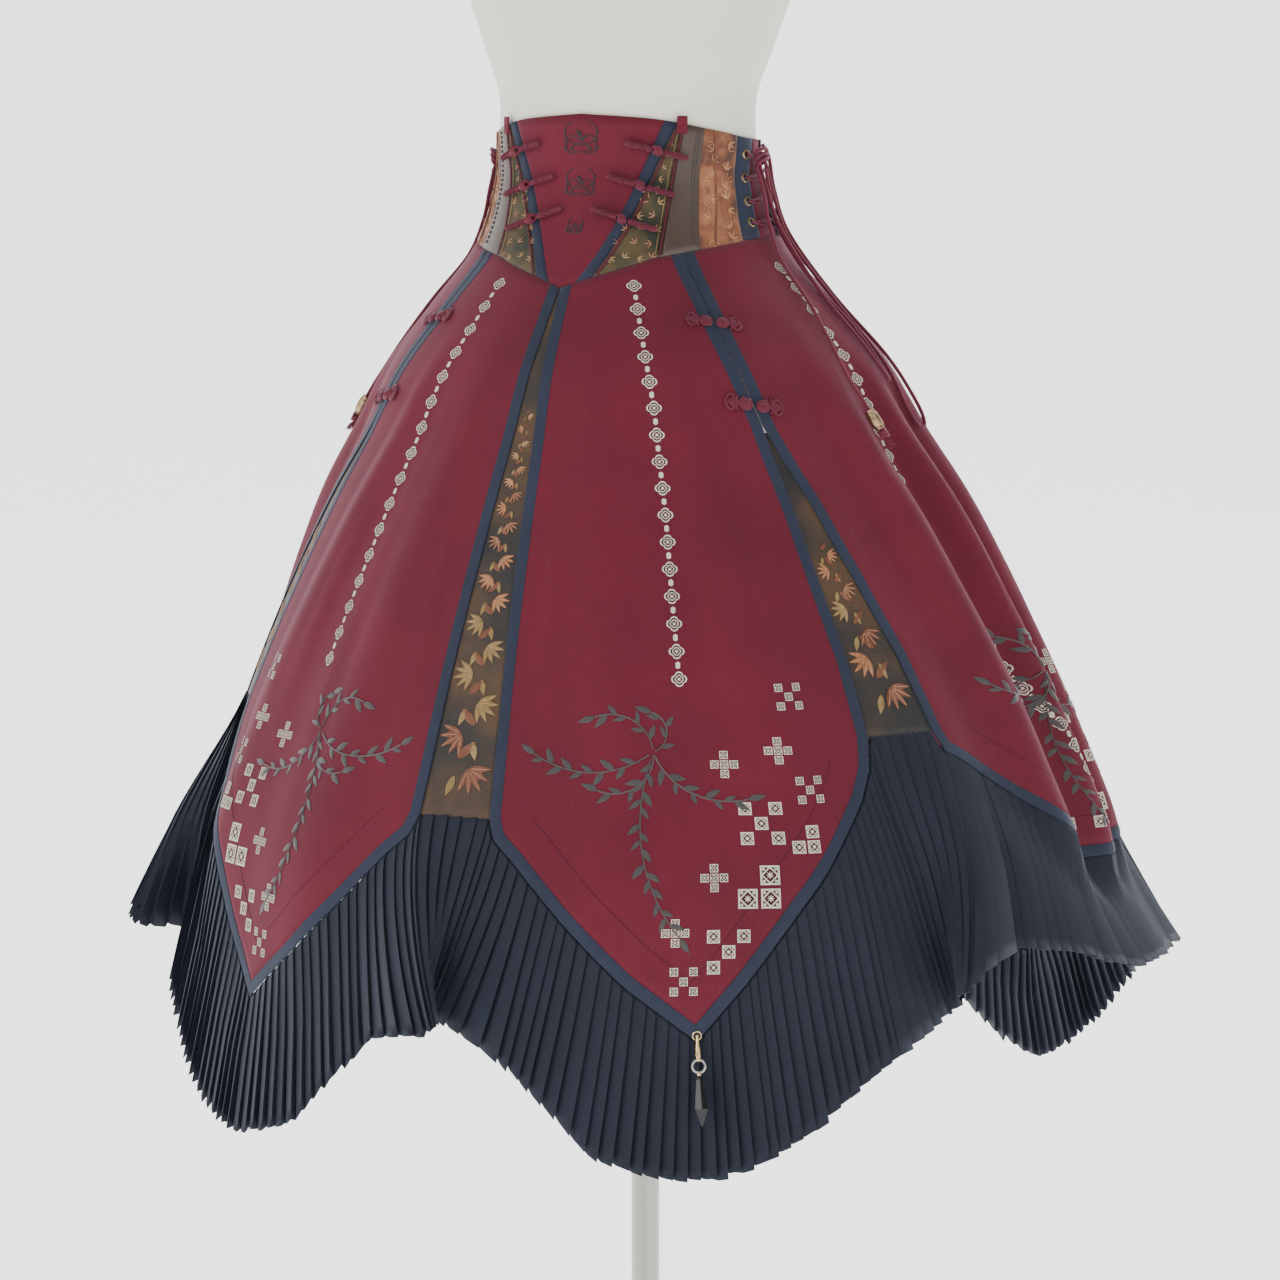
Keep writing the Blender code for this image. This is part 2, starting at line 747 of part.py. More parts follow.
def spaced_along(line, count):
    """Divides a line of (angle, z) into equal lengths over the cloth."""
    lengths = [0.0]
    for (angle0, z0), (angle1, z1) in zip(line, line[1:]):
        across = (angle1 - angle0) * metres_per_degree((angle0 + angle1) / 2, (z0 + z1) / 2)
        lengths.append(lengths[-1] + math.hypot(across, (z1 - z0) * slope_length((z0 + z1) / 2)))
    angles = list(zip(lengths, (p[0] for p in line)))
    heights = list(zip(lengths, (p[1] for p in line)))
    places = [lengths[-1] * k / count for k in range(count + 1)]
    return [(linear_value(angles, s), linear_value(heights, s)) for s in places]


def fanned(angle):
    """Pleats spread at a petal's tip and close up under a slit."""
    side = abs(angle)
    index = min(2, int(side // 60))
    low = 60 * index
    tip = PETAL_TIPS[index]
    half = tip - low if side < tip else low + 60 - tip
    place = (side - tip) / half
    spread = place * (1 + HEM_FAN) - HEM_FAN * place**3
    return math.copysign(tip + spread * half, angle)


def ruffle_point(angle, top_z, down, pleat):
    """A point of the ruffle: down is 0 at its seam and 1 at its hem, pleat is 1 on a fold, -1 between folds."""
    hem_angle = fanned(angle)
    side = min(abs(hem_angle), 180.0)
    hem_z = smooth_value(HEM_Z, side)
    flare = smooth_value(HEM_FLARE, side)
    place = angle + (hem_angle - angle) * down
    z = top_z + (hem_z - top_z) * down
    depth = PLEAT_DEPTH_TOP + (PLEAT_DEPTH_HEM - PLEAT_DEPTH_TOP) * down
    out = flare * down**1.3 - 0.0006 + pleat * depth
    for swirl in SWIRLS:
        away = (angle - swirl.angle) / swirl.half_width
        if abs(away) < 1:
            turn = math.sin(math.pi * away)
            place -= swirl.overlap * turn * down**1.5
            out += swirl.outer_side * swirl.height * turn * down**1.2
    return cloth_point(place, z, out, folded=down < 0.01)


def ruffle_rows(seam, side):
    rows = []
    for down in (0.0, 0.45, 1.0):
        row = []
        for i, (angle, z) in enumerate(seam):
            row.append(ruffle_point(angle * side, z, down, 1 if i % 2 else -1))
        rows.append(row)
    return rows


def make_ruffle():
    """One pleated strip, joined behind the side-front slits and at the centre back."""
    line = ruffle_seam()
    corner = next(i for i, p in enumerate(line) if p[0] > RUFFLE_JOINT)
    before, after = line[corner - 1], line[corner]
    share = (RUFFLE_JOINT - before[0]) / (after[0] - before[0])
    joint = (RUFFLE_JOINT, before[1] + (after[1] - before[1]) * share)
    front = spaced_along(line[:corner] + [joint], 2 * PLEATS_FRONT_HALF)
    back = spaced_along([joint] + line[corner:], 2 * PLEATS_BACK_HALF)
    left = [(-angle, z) for angle, z in reversed(front)]
    whole = left[:-1] + front
    whole[0] = (whole[0][0] + RUFFLE_GAP, whole[0][1])
    whole[-1] = (whole[-1][0] - RUFFLE_GAP, whole[-1][1])
    cloth_wall("ruffle_front", ruffle_rows(whole, 1), PLEAT_NAVY, RUFFLE_CLOTH)
    back[0] = (back[0][0] + RUFFLE_GAP, back[0][1])
    back[-1] = (back[-1][0] - RUFFLE_GAP, back[-1][1])
    cloth_wall("ruffle_back_r", ruffle_rows(back, 1), PLEAT_NAVY, RUFFLE_CLOTH)
    left_rows = [list(reversed(row)) for row in ruffle_rows(back, -1)]
    cloth_wall("ruffle_back_l", left_rows, PLEAT_NAVY, RUFFLE_CLOTH)


def corset_rows(left, right, columns, out=0.0, trim=0.0):
    """A corset panel between two seams; trim takes a little off its top and bottom."""
    rows = []
    for r in range(CORSET_ROWS + 1):
        down = r / CORSET_ROWS
        row = []
        for c in range(columns + 1):
            share = c / columns
            low = left.low_angle + SEAM_ANGLE / 2 + (right.low_angle - left.low_angle - SEAM_ANGLE) * share
            high = left.top_angle + SEAM_ANGLE / 2 + (right.top_angle - left.top_angle - SEAM_ANGLE) * share
            angle = high + (low - high) * down
            z = top_z(high) - trim + (waist_z(low) - top_z(high) + 2 * trim) * down
            row.append(cloth_point(angle, z, out))
        rows.append(row)
    return rows


def make_corset():
    mirror_v = CorsetSeam(-V_INNER.low_angle, -V_INNER.top_angle)
    cloth_wall("corset_plastron", corset_rows(mirror_v, V_INNER, 8), BURGUNDY, CORSET_WALL)
    binding = corset_rows(V_INNER, V_OUTER, 1, BINDING_PROUD)
    both_sides("corset_v_binding", binding, NAVY, BINDING_THICKNESS)
    both_sides("corset_print_front", corset_rows(V_OUTER, PRINT_FRONT_SIDE, 3), DARK_PRINT, CORSET_WALL)
    both_sides("corset_satin", corset_rows(PRINT_FRONT_SIDE, SATIN_SIDE, 2), OLIVE_SATIN, CORSET_WALL)
    both_sides("corset_print_side", corset_rows(SATIN_SIDE, PRINT_SIDE_SIDE, 3), DARK_PRINT, CORSET_WALL)
    both_sides("corset_eyelet_strip", corset_rows(PRINT_SIDE_SIDE, EYELET_STRIP_SIDE, 2), NAVY, CORSET_WALL)
    rear = corset_rows(REAR_STRIP_FRONT, REAR_STRIP_REAR, 2, CLOTH + SEAM, REAR_STRIP_TRIM)
    both_sides("corset_rear_strip", rear, NAVY, CORSET_WALL)
    behind = CorsetSeam(360 - EYELET_STRIP_SIDE.low_angle, 360 - EYELET_STRIP_SIDE.top_angle)
    cloth_wall("corset_back", corset_rows(EYELET_STRIP_SIDE, behind, 22), BURGUNDY, CORSET_WALL)


def make_belt_loops():
    """A narrow tape folded over the top edge beside each V binding, standing a little above it."""
    edge = top_z(BELT_LOOP_ANGLE)
    rows = []
    for z in (edge + BELT_LOOP_ABOVE, edge - BELT_LOOP_BELOW):
        angles = [BELT_LOOP_ANGLE + BELT_LOOP_HALF * side for side in (-1, 0, 1)]
        rows.append([cloth_point(angle, z, BELT_LOOP_OUT) for angle in angles])
    both_sides("belt_loop", rows, BURGUNDY, CLOTH)


def poly_tube(name, points, radii, radius, material):
    """A round cord along a line of points, its ends closed."""
    data = bpy.data.curves.new(name, "CURVE")
    data.dimensions = "3D"
    data.bevel_depth = radius
    data.bevel_resolution = 2
    data.use_fill_caps = True
    spline = data.splines.new("POLY")
    spline.points.add(len(points) - 1)
    for slot, point, scale in zip(spline.points, points, radii):
        slot.co = (*point, 1.0)
        slot.radius = scale
    tube = bpy.data.objects.new(name, data)
    PARTS.objects.link(tube)
    data.materials.append(material)
    return tube


def make_coil_frogs():
    """Two wound bars with a ball knot between them, across each V binding."""
    for number, frog in enumerate(COIL_FROGS, 1):
        points = []
        scales = []
        half_angle = frog.length / 2 / metres_per_degree(frog.angle, frog.z)
        rise = math.tan(math.radians(frog.slope)) * frog.length / 2
        for k in range(COIL_STEPS + 1):
            along = 2 * k / COIL_STEPS - 1
            knot = max(0.0, 1 - abs(along) / COIL_KNOT_SHARE)
            scale = 1 + (COIL_KNOT_RADIUS / COIL_BAR_RADIUS - 1) * math.sqrt(knot)
            off = BINDING_PROUD + COIL_GAP + COIL_BAR_RADIUS * max(scale, 1.0)
            points.append(cloth_point(frog.angle + half_angle * along, frog.z + rise * along, off))
            scales.append(scale if 0 < k < COIL_STEPS else COIL_END_SCALE)
        poly_tube("coil_frog_%d_r" % number, points, scales, COIL_BAR_RADIUS, CORD)
        left = [mirrored(p) for p in points]
        poly_tube("coil_frog_%d_l" % number, left, scales, COIL_BAR_RADIUS, CORD)


def flower_outline(width, height):
    """Two round rosettes side by side with a pointed leaf beyond each."""
    points = []
    for k in range(FLOWER_STEPS):
        turn = 2 * math.pi * k / FLOWER_STEPS
        leaf = abs(math.cos(turn)) ** 3
        rosette = 0.62 + 0.10 * math.cos(4 * turn) + 0.08 * math.cos(2 * turn)
        reach = height / 2 * rosette * 1.35 * (1 - leaf) + width / 2 * leaf
        points.append((reach * math.cos(turn), reach * math.sin(turn) * 0.98))
    return points


def make_flower_frogs():
    for number, frog in enumerate(FLOWER_FROGS, 1):
        outline = flower_outline(frog.width, frog.height)
        points = []
        for layer in FLOWER_LAYERS:
            height = layer.rise * FLOWER_FROG_DEPTH
            points += [(x * layer.scale, y * layer.scale, height) for x, y in outline]
        count = len(outline)
        faces = [tuple(reversed(range(count)))]
        for row in range(len(FLOWER_LAYERS) - 1):
            for k in range(count):
                low = row * count + k
                beside = row * count + (k + 1) % count
                faces.append((low, beside, beside + count, low + count))
        faces.append(tuple(range(len(points) - count, len(points))))
        place = cloth_frame(slit_angle(60, frog.z), frog.z, BINDING_PROUD + frog.off)
        right = mesh_from("flower_frog_%d_r" % number, points, faces)
        thing = add_object("flower_frog_%d_r" % number, right, CORD)
        thing.matrix_world = place
        flipped = [mirrored(place @ Vector(p)) for p in points]
        left = mesh_from("flower_frog_%d_l" % number, flipped, [tuple(reversed(f)) for f in faces])
        add_object("flower_frog_%d_l" % number, left, CORD)


def smooth_route(points):
    """Points on a smooth curve through the route's own points, and halfway between them."""
    result = []
    for i in range(len(points) - 1):
        before = points[max(0, i - 1)]
        first, second = points[i], points[i + 1]
        after = points[min(len(points) - 1, i + 2)]
        for s in (0.0, 0.5):
            tangent0 = (second - before) / 2
            tangent1 = (after - first) / 2
            h1 = 2 * s**3 - 3 * s**2 + 1
            h2 = s**3 - 2 * s**2 + s
            h3 = -2 * s**3 + 3 * s**2
            h4 = s**3 - s**2
            result.append(first * h1 + tangent0 * h2 + second * h3 + tangent1 * h4)
    result.append(points[-1])
    return result


def route_points(route):
    return smooth_route([cloth_point(p.angle, p.z, p.off) for p in route])


def lacing_route():
    """Zigzag between the holes of the two strips."""
    points = []
    for hole in LACING_HOLES:
        steps = LACING_STEPS[:2] if hole is LACING_HOLES[-1] else LACING_STEPS
        for step in steps:
            angle = hole.front + (hole.rear - hole.front) * step.across
            points.append(cloth_point(angle, hole.z - step.drop, step.off))
    return points


def make_cords():
    routes = {
        "side_lacing": lacing_route(),
        "bow_loop_long": route_points(BOW_LOOP_LONG),
        "bow_loop_short": route_points(BOW_LOOP_SHORT),
        "cord_end": route_points(CORD_END),
    }
    for name, points in routes.items():
        for side, line in (("_r", points), ("_l", [mirrored(p) for p in points])):
            poly_tube(name + side, line, [1.0] * len(line), CORD_RADIUS, CORD)


def make_beads():
    """A turned bead on each cord end, with the cord's knot and short fringe below it, in one piece."""
    points = route_points(CORD_END)
    direction = (points[-1] - points[-2]).normalized()
    start = points[-1] + direction * SEAM
    outline = [(point.radius, 0.0, -point.along) for point in BEAD_PROFILE]
    edges = [(k, k + 1) for k in range(len(outline) - 1)]
    for side in (1, -1):
        name = "cord_bead_r" if side > 0 else "cord_bead_l"
        mesh = bpy.data.meshes.new(name)
        mesh.from_pydata(outline, edges, [])
        thing = add_object(name, mesh, BRASS)
        turn = thing.modifiers.new("turn", "SCREW")
        turn.steps = BEAD_SIDES
        turn.render_steps = BEAD_SIDES
        turn.use_merge_vertices = True
        turn.merge_threshold = 0.00005
        place = start if side > 0 else mirrored(start)
        aim = direction if side > 0 else mirrored(direction)
        thing.rotation_mode = "QUATERNION"
        thing.rotation_quaternion = (-aim).to_track_quat("Z", "Y")
        thing.location = place


def make_form():
    waist = []
    for z in FORM_WAIST_HEIGHTS:
        a, b, centre = section(z)
        waist.append(Section(z, a - FORM_CLEARANCE, b - FORM_CLEARANCE, centre))
    rings = sorted(FORM_SECTIONS + waist)
    points = []
    for row in rings:
        for k in range(FORM_SIDES):
            t = 2 * math.pi * k / FORM_SIDES
            points.append((row.half_width * math.sin(t), row.centre_y - row.half_depth * math.cos(t), row.z))
    faces = [tuple(reversed(range(FORM_SIDES)))]
    for ring in range(len(rings) - 1):
        for k in range(FORM_SIDES):
            low = ring * FORM_SIDES + k
            beside = ring * FORM_SIDES + (k + 1) % FORM_SIDES
            faces.append((low, beside, beside + FORM_SIDES, low + FORM_SIDES))
    last = (len(rings) - 1) * FORM_SIDES
    faces.append(tuple(range(last, last + FORM_SIDES)))
    add_object("form_torso", mesh_from("form_torso", points, faces), LINEN)


def make_stand():
    """The round base and pole in one turned piece."""
    points = [(point.radius, 0.0, point.along) for point in STAND_PROFILE]
    mesh = bpy.data.meshes.new("form_stand")
    mesh.from_pydata(points, [(k, k + 1) for k in range(len(points) - 1)], [])
    thing = add_object("form_stand", mesh, STAND_METAL)
    turn = thing.modifiers.new("turn", "SCREW")
    turn.steps = STAND_SIDES
    turn.render_steps = STAND_SIDES
    turn.use_merge_vertices = True
    turn.merge_threshold = 0.00005


def make_pendant():
    """Clasp, ring and faceted drop in one piece that swings on the eyelet in the front petal's tip."""
    pivot = cloth_frame(PENDANT_ANGLE, PENDANT_TOP, BINDING_PROUD + PENDANT_GAP)
    bpy.ops.mesh.primitive_torus_add(
        major_radius=RING_RADIUS,
        minor_radius=RING_THICKNESS,
        major_segments=14,
        minor_segments=6,
        location=(0, RING_PLACE, 0),
    )
    ring = bpy.context.object
    ring.name = "pendant"
    clasp = turned_facets("pendant_clasp", CLASP_PROFILE, PENDANT_SIDES)
    stone = turned_facets("pendant_stone", DROP_PROFILE, PENDANT_SIDES)
    for collection in list(ring.users_collection):
        collection.objects.unlink(ring)
    PARTS.objects.link(ring)
    ring.data.materials.append(BRASS)
    for cutter in (clasp, stone):
        union = ring.modifiers.new("join", "BOOLEAN")
        union.operation = "UNION"
        union.solver = "EXACT"
        union.object = cutter
        cutter.hide_render = True
        cutter.display_type = "WIRE"
    hang = pivot @ Matrix.Rotation(PENDANT_SLOPE, 4, "X") @ Matrix.Rotation(PENDANT_TURN, 4, "Y")
    for thing in (ring, clasp, stone):
        thing.matrix_world = hang @ thing.matrix_world


def turned_facets(name, profile, sides):
    """A faceted solid along the Y axis."""
    points = []
    for radius, place in profile:
        for k in range(sides):
            turn = 2 * math.pi * (k + 0.5) / sides
            points.append((radius * math.cos(turn), place, radius * math.sin(turn)))
    faces = [tuple(reversed(range(sides)))]
    for ring in range(len(profile) - 1):
        for k in range(sides):
            low = ring * sides + k
            beside = ring * sides + (k + 1) % sides
            faces.append((low, beside, beside + sides, low + sides))
    last = (len(profile) - 1) * sides
    faces.append(tuple(range(last, last + sides)))
    mesh = mesh_from(name, points, faces, smooth=False)
    tidy = bmesh.new()
    tidy.from_mesh(mesh)
    bmesh.ops.recalc_face_normals(tidy, faces=tidy.faces)
    tidy.to_mesh(mesh)
    tidy.free()
    return add_object(name, mesh, DARK_GLASS, TOOLS)


make_form()
make_stand()
make_corset()
make_belt_loops()
make_petals()
make_petal_bindings()
make_inserts()
make_ruffle()
make_coil_frogs()
make_flower_frogs()
make_cords()
make_beads()
make_pendant()
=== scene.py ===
"""Looks of the corset skirt: fine cloth, pleats, prints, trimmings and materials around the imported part."""

import math
import random
from collections import namedtuple

import bpy
import numpy as np
from mathutils import Matrix, Vector


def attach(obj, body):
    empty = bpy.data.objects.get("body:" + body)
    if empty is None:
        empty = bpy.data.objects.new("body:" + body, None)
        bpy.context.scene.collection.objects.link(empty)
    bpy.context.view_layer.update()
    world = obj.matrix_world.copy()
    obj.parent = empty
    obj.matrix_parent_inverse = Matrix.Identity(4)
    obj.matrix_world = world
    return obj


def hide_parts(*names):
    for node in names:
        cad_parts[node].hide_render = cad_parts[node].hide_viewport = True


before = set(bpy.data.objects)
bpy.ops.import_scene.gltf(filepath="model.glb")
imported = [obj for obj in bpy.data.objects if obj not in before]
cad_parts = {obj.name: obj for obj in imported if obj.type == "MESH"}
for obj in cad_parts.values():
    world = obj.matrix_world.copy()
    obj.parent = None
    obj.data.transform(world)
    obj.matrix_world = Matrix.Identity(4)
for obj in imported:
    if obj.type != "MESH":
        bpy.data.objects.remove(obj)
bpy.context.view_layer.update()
GARMENT = "garment_on_form"
PENDANT = "pendant"

# Camera of the photograph
CAMERA_AZIMUTH = math.radians(26.0)
CAMERA_ELEVATION = math.radians(6.5)
CAMERA_DISTANCE = 3.6
CAMERA_TARGET = Vector((0.0, 0.0, 0.70))
FOCAL_PIXELS = 4235.0
PHOTO_PIXELS = 1280.0
OPTICAL_CENTRE_X = 645.5
SENSOR = 36.0

# Sizes that the part's solids have
CLOTH = 0.0009
BINDING_WIDTH = 0.010
BINDING_PROUD = 0.0006
BINDING_CLOTH = 0.0011
HALF_SEAM = 0.00025
UNDERLAP = 0.0025
INSERT_SUNK = 0.0010
CORD_RADIUS = 0.0016
POLE_RADIUS = 0.012
BASE_RADIUS = 0.175
FORM_BOTTOM = 0.880
FORM_CLEARANCE = 0.0025

Section = namedtuple("Section", "z half_width half_depth centre_y")
CLOTH_SECTIONS = [
    Section(0.240, 0.415, 0.405, 0.017),
    Section(0.330, 0.410, 0.400, 0.017),
    Section(0.450, 0.401, 0.390, 0.017),
    Section(0.542, 0.390, 0.376, 0.017),
    Section(0.628, 0.360, 0.344, 0.014),
    Section(0.730, 0.317, 0.300, 0.008),
    Section(0.832, 0.269, 0.248, 0.000),
    Section(0.883, 0.241, 0.218, -0.006),
    Section(0.934, 0.216, 0.190, -0.012),
    Section(0.985, 0.177, 0.150, -0.020),
    Section(1.036, 0.134, 0.108, -0.030),
    Section(1.070, 0.120, 0.092, -0.033),
    Section(1.100, 0.114, 0.085, -0.035),
    Section(1.160, 0.1135, 0.086, -0.034),
]
FORM_SECTIONS = [
    Section(0.880, 0.146, 0.106, -0.015),
    Section(0.892, 0.160, 0.118, -0.016),
    Section(0.930, 0.168, 0.127, -0.018),
    Section(0.970, 0.162, 0.124, -0.021),
    Section(1.005, 0.144, 0.116, -0.025),
    Section(1.200, 0.1260, 0.0940, -0.032),
    Section(1.244, 0.1410, 0.1040, -0.030),
    Section(1.310, 0.1530, 0.1170, -0.030),
    Section(1.370, 0.1530, 0.1080, -0.022),
    Section(1.420, 0.1500, 0.0840, -0.012),
    Section(1.445, 0.1220, 0.0680, -0.008),
    Section(1.462, 0.0760, 0.0560, -0.004),
    Section(1.480, 0.0590, 0.0520, -0.002),
    Section(1.525, 0.0550, 0.0500, 0.000),
    Section(1.532, 0.0480, 0.0430, 0.000),
]
FORM_WAIST_HEIGHTS = (1.036, 1.050, 1.065, 1.082, 1.100, 1.125, 1.150)

SlitPlace = namedtuple("SlitPlace", "z angle")
SIDE_FRONT_SLIT = [
    SlitPlace(0.55, 60.0),
    SlitPlace(0.66, 59.5),
    SlitPlace(0.80, 54.0),
    SlitPlace(0.91, 47.5),
    SlitPlace(0.98, 43.0),
    SlitPlace(1.04, 40.0),
]
Slit = namedtuple("Slit", "closed_rows opening_rate insert_bottom")
SLITS = {
    0: Slit(0, 0.075, 0.596),
    60: Slit(3, 0.130, 0.656),
    120: Slit(3, 0.100, 0.566),
    180: Slit(1, 0.072, 0.585),
}
EdgePoint = namedtuple("EdgePoint", "angle z")
FRONT_EDGE = [
    EdgePoint(4.6, 0.596),
    EdgePoint(5.6, 0.581),
    EdgePoint(8.5, 0.564),
    EdgePoint(14.5, 0.522),
    EdgePoint(21.8, 0.475),
    EdgePoint(30.0, 0.432),
    EdgePoint(35.6, 0.475),
    EdgePoint(42.4, 0.535),
    EdgePoint(49.5, 0.592),
    EdgePoint(51.6, 0.610),
    EdgePoint(53.4, 0.632),
    EdgePoint(54.2, 0.656),
]
SIDE_EDGE = [
    EdgePoint(64.8, 0.656),
    EdgePoint(66.0, 0.641),
    EdgePoint(69.5, 0.630),
    EdgePoint(75.5, 0.606),
    EdgePoint(81.5, 0.580),
    EdgePoint(92.0, 0.535),
    EdgePoint(98.0, 0.536),
    EdgePoint(105.0, 0.539),
    EdgePoint(111.5, 0.543),
    EdgePoint(114.3, 0.552),
    EdgePoint(115.3, 0.566),
]
BACK_EDGE = [
    EdgePoint(124.7, 0.566),
    EdgePoint(125.6, 0.548),
    EdgePoint(129.0, 0.522),
    EdgePoint(135.0, 0.480),
    EdgePoint(142.0, 0.434),
    EdgePoint(150.0, 0.385),
    EdgePoint(158.0, 0.434),
    EdgePoint(165.0, 0.480),
    EdgePoint(171.0, 0.528),
    EdgePoint(174.2, 0.560),
    EdgePoint(175.4, 0.585),
]
PETALS = {
    "front": (0, 60, FRONT_EDGE),
    "side": (60, 120, SIDE_EDGE),
    "back": (120, 180, BACK_EDGE),
}
PETAL_TIPS = (30.0, 92.0, 150.0)
PETAL_ROWS = (0.0, 0.10, 0.22, 0.36, 0.52, 0.68, 0.84, 1.0)
WIDEST_COLUMN = 6.5

Fold = namedtuple("Fold", "top_angle hem_angle height half_width")
FOLDS = [
    Fold(17, 20, 0.0035, 8),
    Fold(40, 44, 0.0045, 6),
    Fold(30, 33, -0.0030, 7),
    Fold(71, 74, -0.0040, 6),
    Fold(77, 84, 0.0140, 6),
    Fold(85, 92, -0.0120, 6),
    Fold(92, 97, 0.0120, 5.5),
    Fold(98, 102, -0.0080, 4),
    Fold(104, 107, 0.0090, 5),
    Fold(132, 134, 0.0080, 6.5),
    Fold(141, 142, -0.0050, 7),
    Fold(151, 151, 0.0070, 9),
    Fold(167, 167, 0.0070, 6.5),
]
FOLDS_START = 1.000
FOLDS_FULL = 0.800

# Smaller creases that only the scene has: place at the waist and hem, where each starts and ends,
# height and half width
Crease = namedtuple("Crease", "top_angle hem_angle start end height half_width")
CREASES = [
    Crease(12, 10, 0.93, 0.62, 0.0014, 2.6),
    Crease(24, 25, 0.88, 0.52, -0.0012, 3.4),
    Crease(36, 38, 0.90, 0.58, 0.0016, 3.0),
    Crease(66, 70, 0.96, 0.66, -0.0018, 2.4),
    Crease(74, 77, 0.97, 0.62, 0.0022, 2.2),
    Crease(82, 89, 0.94, 0.60, 0.0020, 2.0),
    Crease(88, 94, 0.98, 0.70, -0.0024, 2.2),
    Crease(100, 104, 0.95, 0.58, 0.0020, 2.4),
    Crease(109, 110, 0.90, 0.62, -0.0014, 2.6),
    Crease(128, 129, 0.92, 0.56, -0.0016, 2.4),
    Crease(138, 138, 0.96, 0.50, 0.0020, 2.6),
    Crease(146, 147, 0.90, 0.46, -0.0018, 3.0),
    Crease(156, 157, 0.94, 0.52, 0.0018, 2.8),
    Crease(163, 162, 0.88, 0.50, -0.0014, 2.6),
    Crease(172, 172, 0.96, 0.60, 0.0014, 2.2),
]

HemPoint = namedtuple("HemPoint", "angle z flare")
HEM = [
    HemPoint(0, 0.448, 0.012),
    HemPoint(6, 0.428, 0.010),
    HemPoint(13, 0.384, 0.008),
    HemPoint(20, 0.340, 0.008),
    HemPoint(30, 0.326, 0.008),
    HemPoint(39, 0.347, 0.010),
    HemPoint(51, 0.410, 0.014),
    HemPoint(60, 0.455, 0.022),
    HemPoint(69, 0.490, 0.030),
    HemPoint(80, 0.472, 0.034),
    HemPoint(92, 0.450, 0.036),
    HemPoint(105, 0.446, 0.038),
    HemPoint(116, 0.434, 0.038),
    HemPoint(124, 0.410, 0.030),
    HemPoint(135, 0.345, 0.014),
    HemPoint(150, 0.290, 0.010),
    HemPoint(165, 0.345, 0.010),
    HemPoint(180, 0.440, 0.012),
]
HEM_FAN = 0.30
RUFFLE_DROP = 0.0021
RUFFLE_JOINT = 72.0
RUFFLE_UNDER = 0.0024
RUFFLE_CLOTH = 0.0006
PLEATS_FRONT_HALF = 59
PLEATS_BACK_HALF = 76
PLEAT_DEPTH_TOP = 0.0013
PLEAT_DEPTH_HEM = 0.0036
PLEAT_OVERLAP = 0.28
RUFFLE_STEPS = 14

Swirl = namedtuple("Swirl", "angle outer_side height overlap half_width")
SWIRLS = [
    Swirl(-120, 1, 0.020, 4.5, 10),
    Swirl(-60, -1, 0.026, 5.0, 11),
    Swirl(0, -1, 0.024, 5.0, 11),
    Swirl(60, 1, 0.026, 5.0, 11),
    Swirl(120, -1, 0.020, 4.5, 10),
]

EdgeHeight = namedtuple("EdgeHeight", "angle z")
CORSET_TOP = [
    EdgeHeight(0, 1.143),
    EdgeHeight(30, 1.139),
    EdgeHeight(60, 1.130),
    EdgeHeight(90, 1.123),
    EdgeHeight(180, 1.121),
]
WAIST_SEAM = [
    EdgeHeight(0, 1.003),
    EdgeHeight(7, 1.010),
    EdgeHeight(30, 1.027),
    EdgeHeight(48, 1.034),
    EdgeHeight(70, 1.041),
    EdgeHeight(90, 1.045),
    EdgeHeight(180, 1.045),
]
CorsetSeam = namedtuple("CorsetSeam", "low_angle top_angle")
V_INNER = CorsetSeam(4.4, 36.5)
V_OUTER = CorsetSeam(9.6, 42.2)
PRINT_FRONT_SIDE = CorsetSeam(31.8, 45.2)
SATIN_SIDE = CorsetSeam(47.6, 56.0)
PRINT_SIDE_SIDE = CorsetSeam(68.2, 76.5)
EYELET_STRIP_SIDE = CorsetSeam(80.0, 91.0)
REAR_STRIP_FRONT = CorsetSeam(98.0, 106.0)
REAR_STRIP_REAR = CorsetSeam(108.5, 117.5)
REAR_STRIP_OUT = 0.0016

CoilFrog = namedtuple("CoilFrog", "z angle length slope")
COIL_FROGS = [
    CoilFrog(1.113, 33.2, 0.050, -14),
    CoilFrog(1.085, 25.9, 0.054, -16),
    CoilFrog(1.058, 18.9, 0.054, -18),
]
FlowerFrog = namedtuple("FlowerFrog", "z width height")
FLOWER_FROGS = [FlowerFrog(0.977, 0.046, 0.021), FlowerFrog(0.912, 0.050, 0.023)]

LacingHole = namedtuple("LacingHole", "z front rear")
LACING_HOLES = [
    LacingHole(1.110, 82.8, 107.8),
    LacingHole(1.091, 80.9, 105.8),
    LacingHole(1.072, 79.0, 103.8),
    LacingHole(1.055, 77.3, 102.0),
]
CordPoint = namedtuple("CordPoint", "angle z off")
BOW_LOOP_LONG = [
    CordPoint(88.5, 1.112, 0.008),
    CordPoint(92, 1.100, 0.012),
    CordPoint(94, 1.075, 0.0120),
    CordPoint(94.5, 1.040, 0.0110),
    CordPoint(95, 0.990, 0.0056),
    CordPoint(95.5, 0.940, 0.0056),
    CordPoint(96, 0.905, 0.0056),
    CordPoint(97.2, 0.888, 0.0056),
    CordPoint(99, 0.890, 0.0056),
    CordPoint(100, 0.908, 0.0056),
    CordPoint(99.5, 0.945, 0.0056),
    CordPoint(99, 0.995, 0.0056),
    CordPoint(98.5, 1.045, 0.0110),
    CordPoint(97.5, 1.080, 0.012),
    CordPoint(95, 1.108, 0.012),
    CordPoint(91, 1.118, 0.009),
]
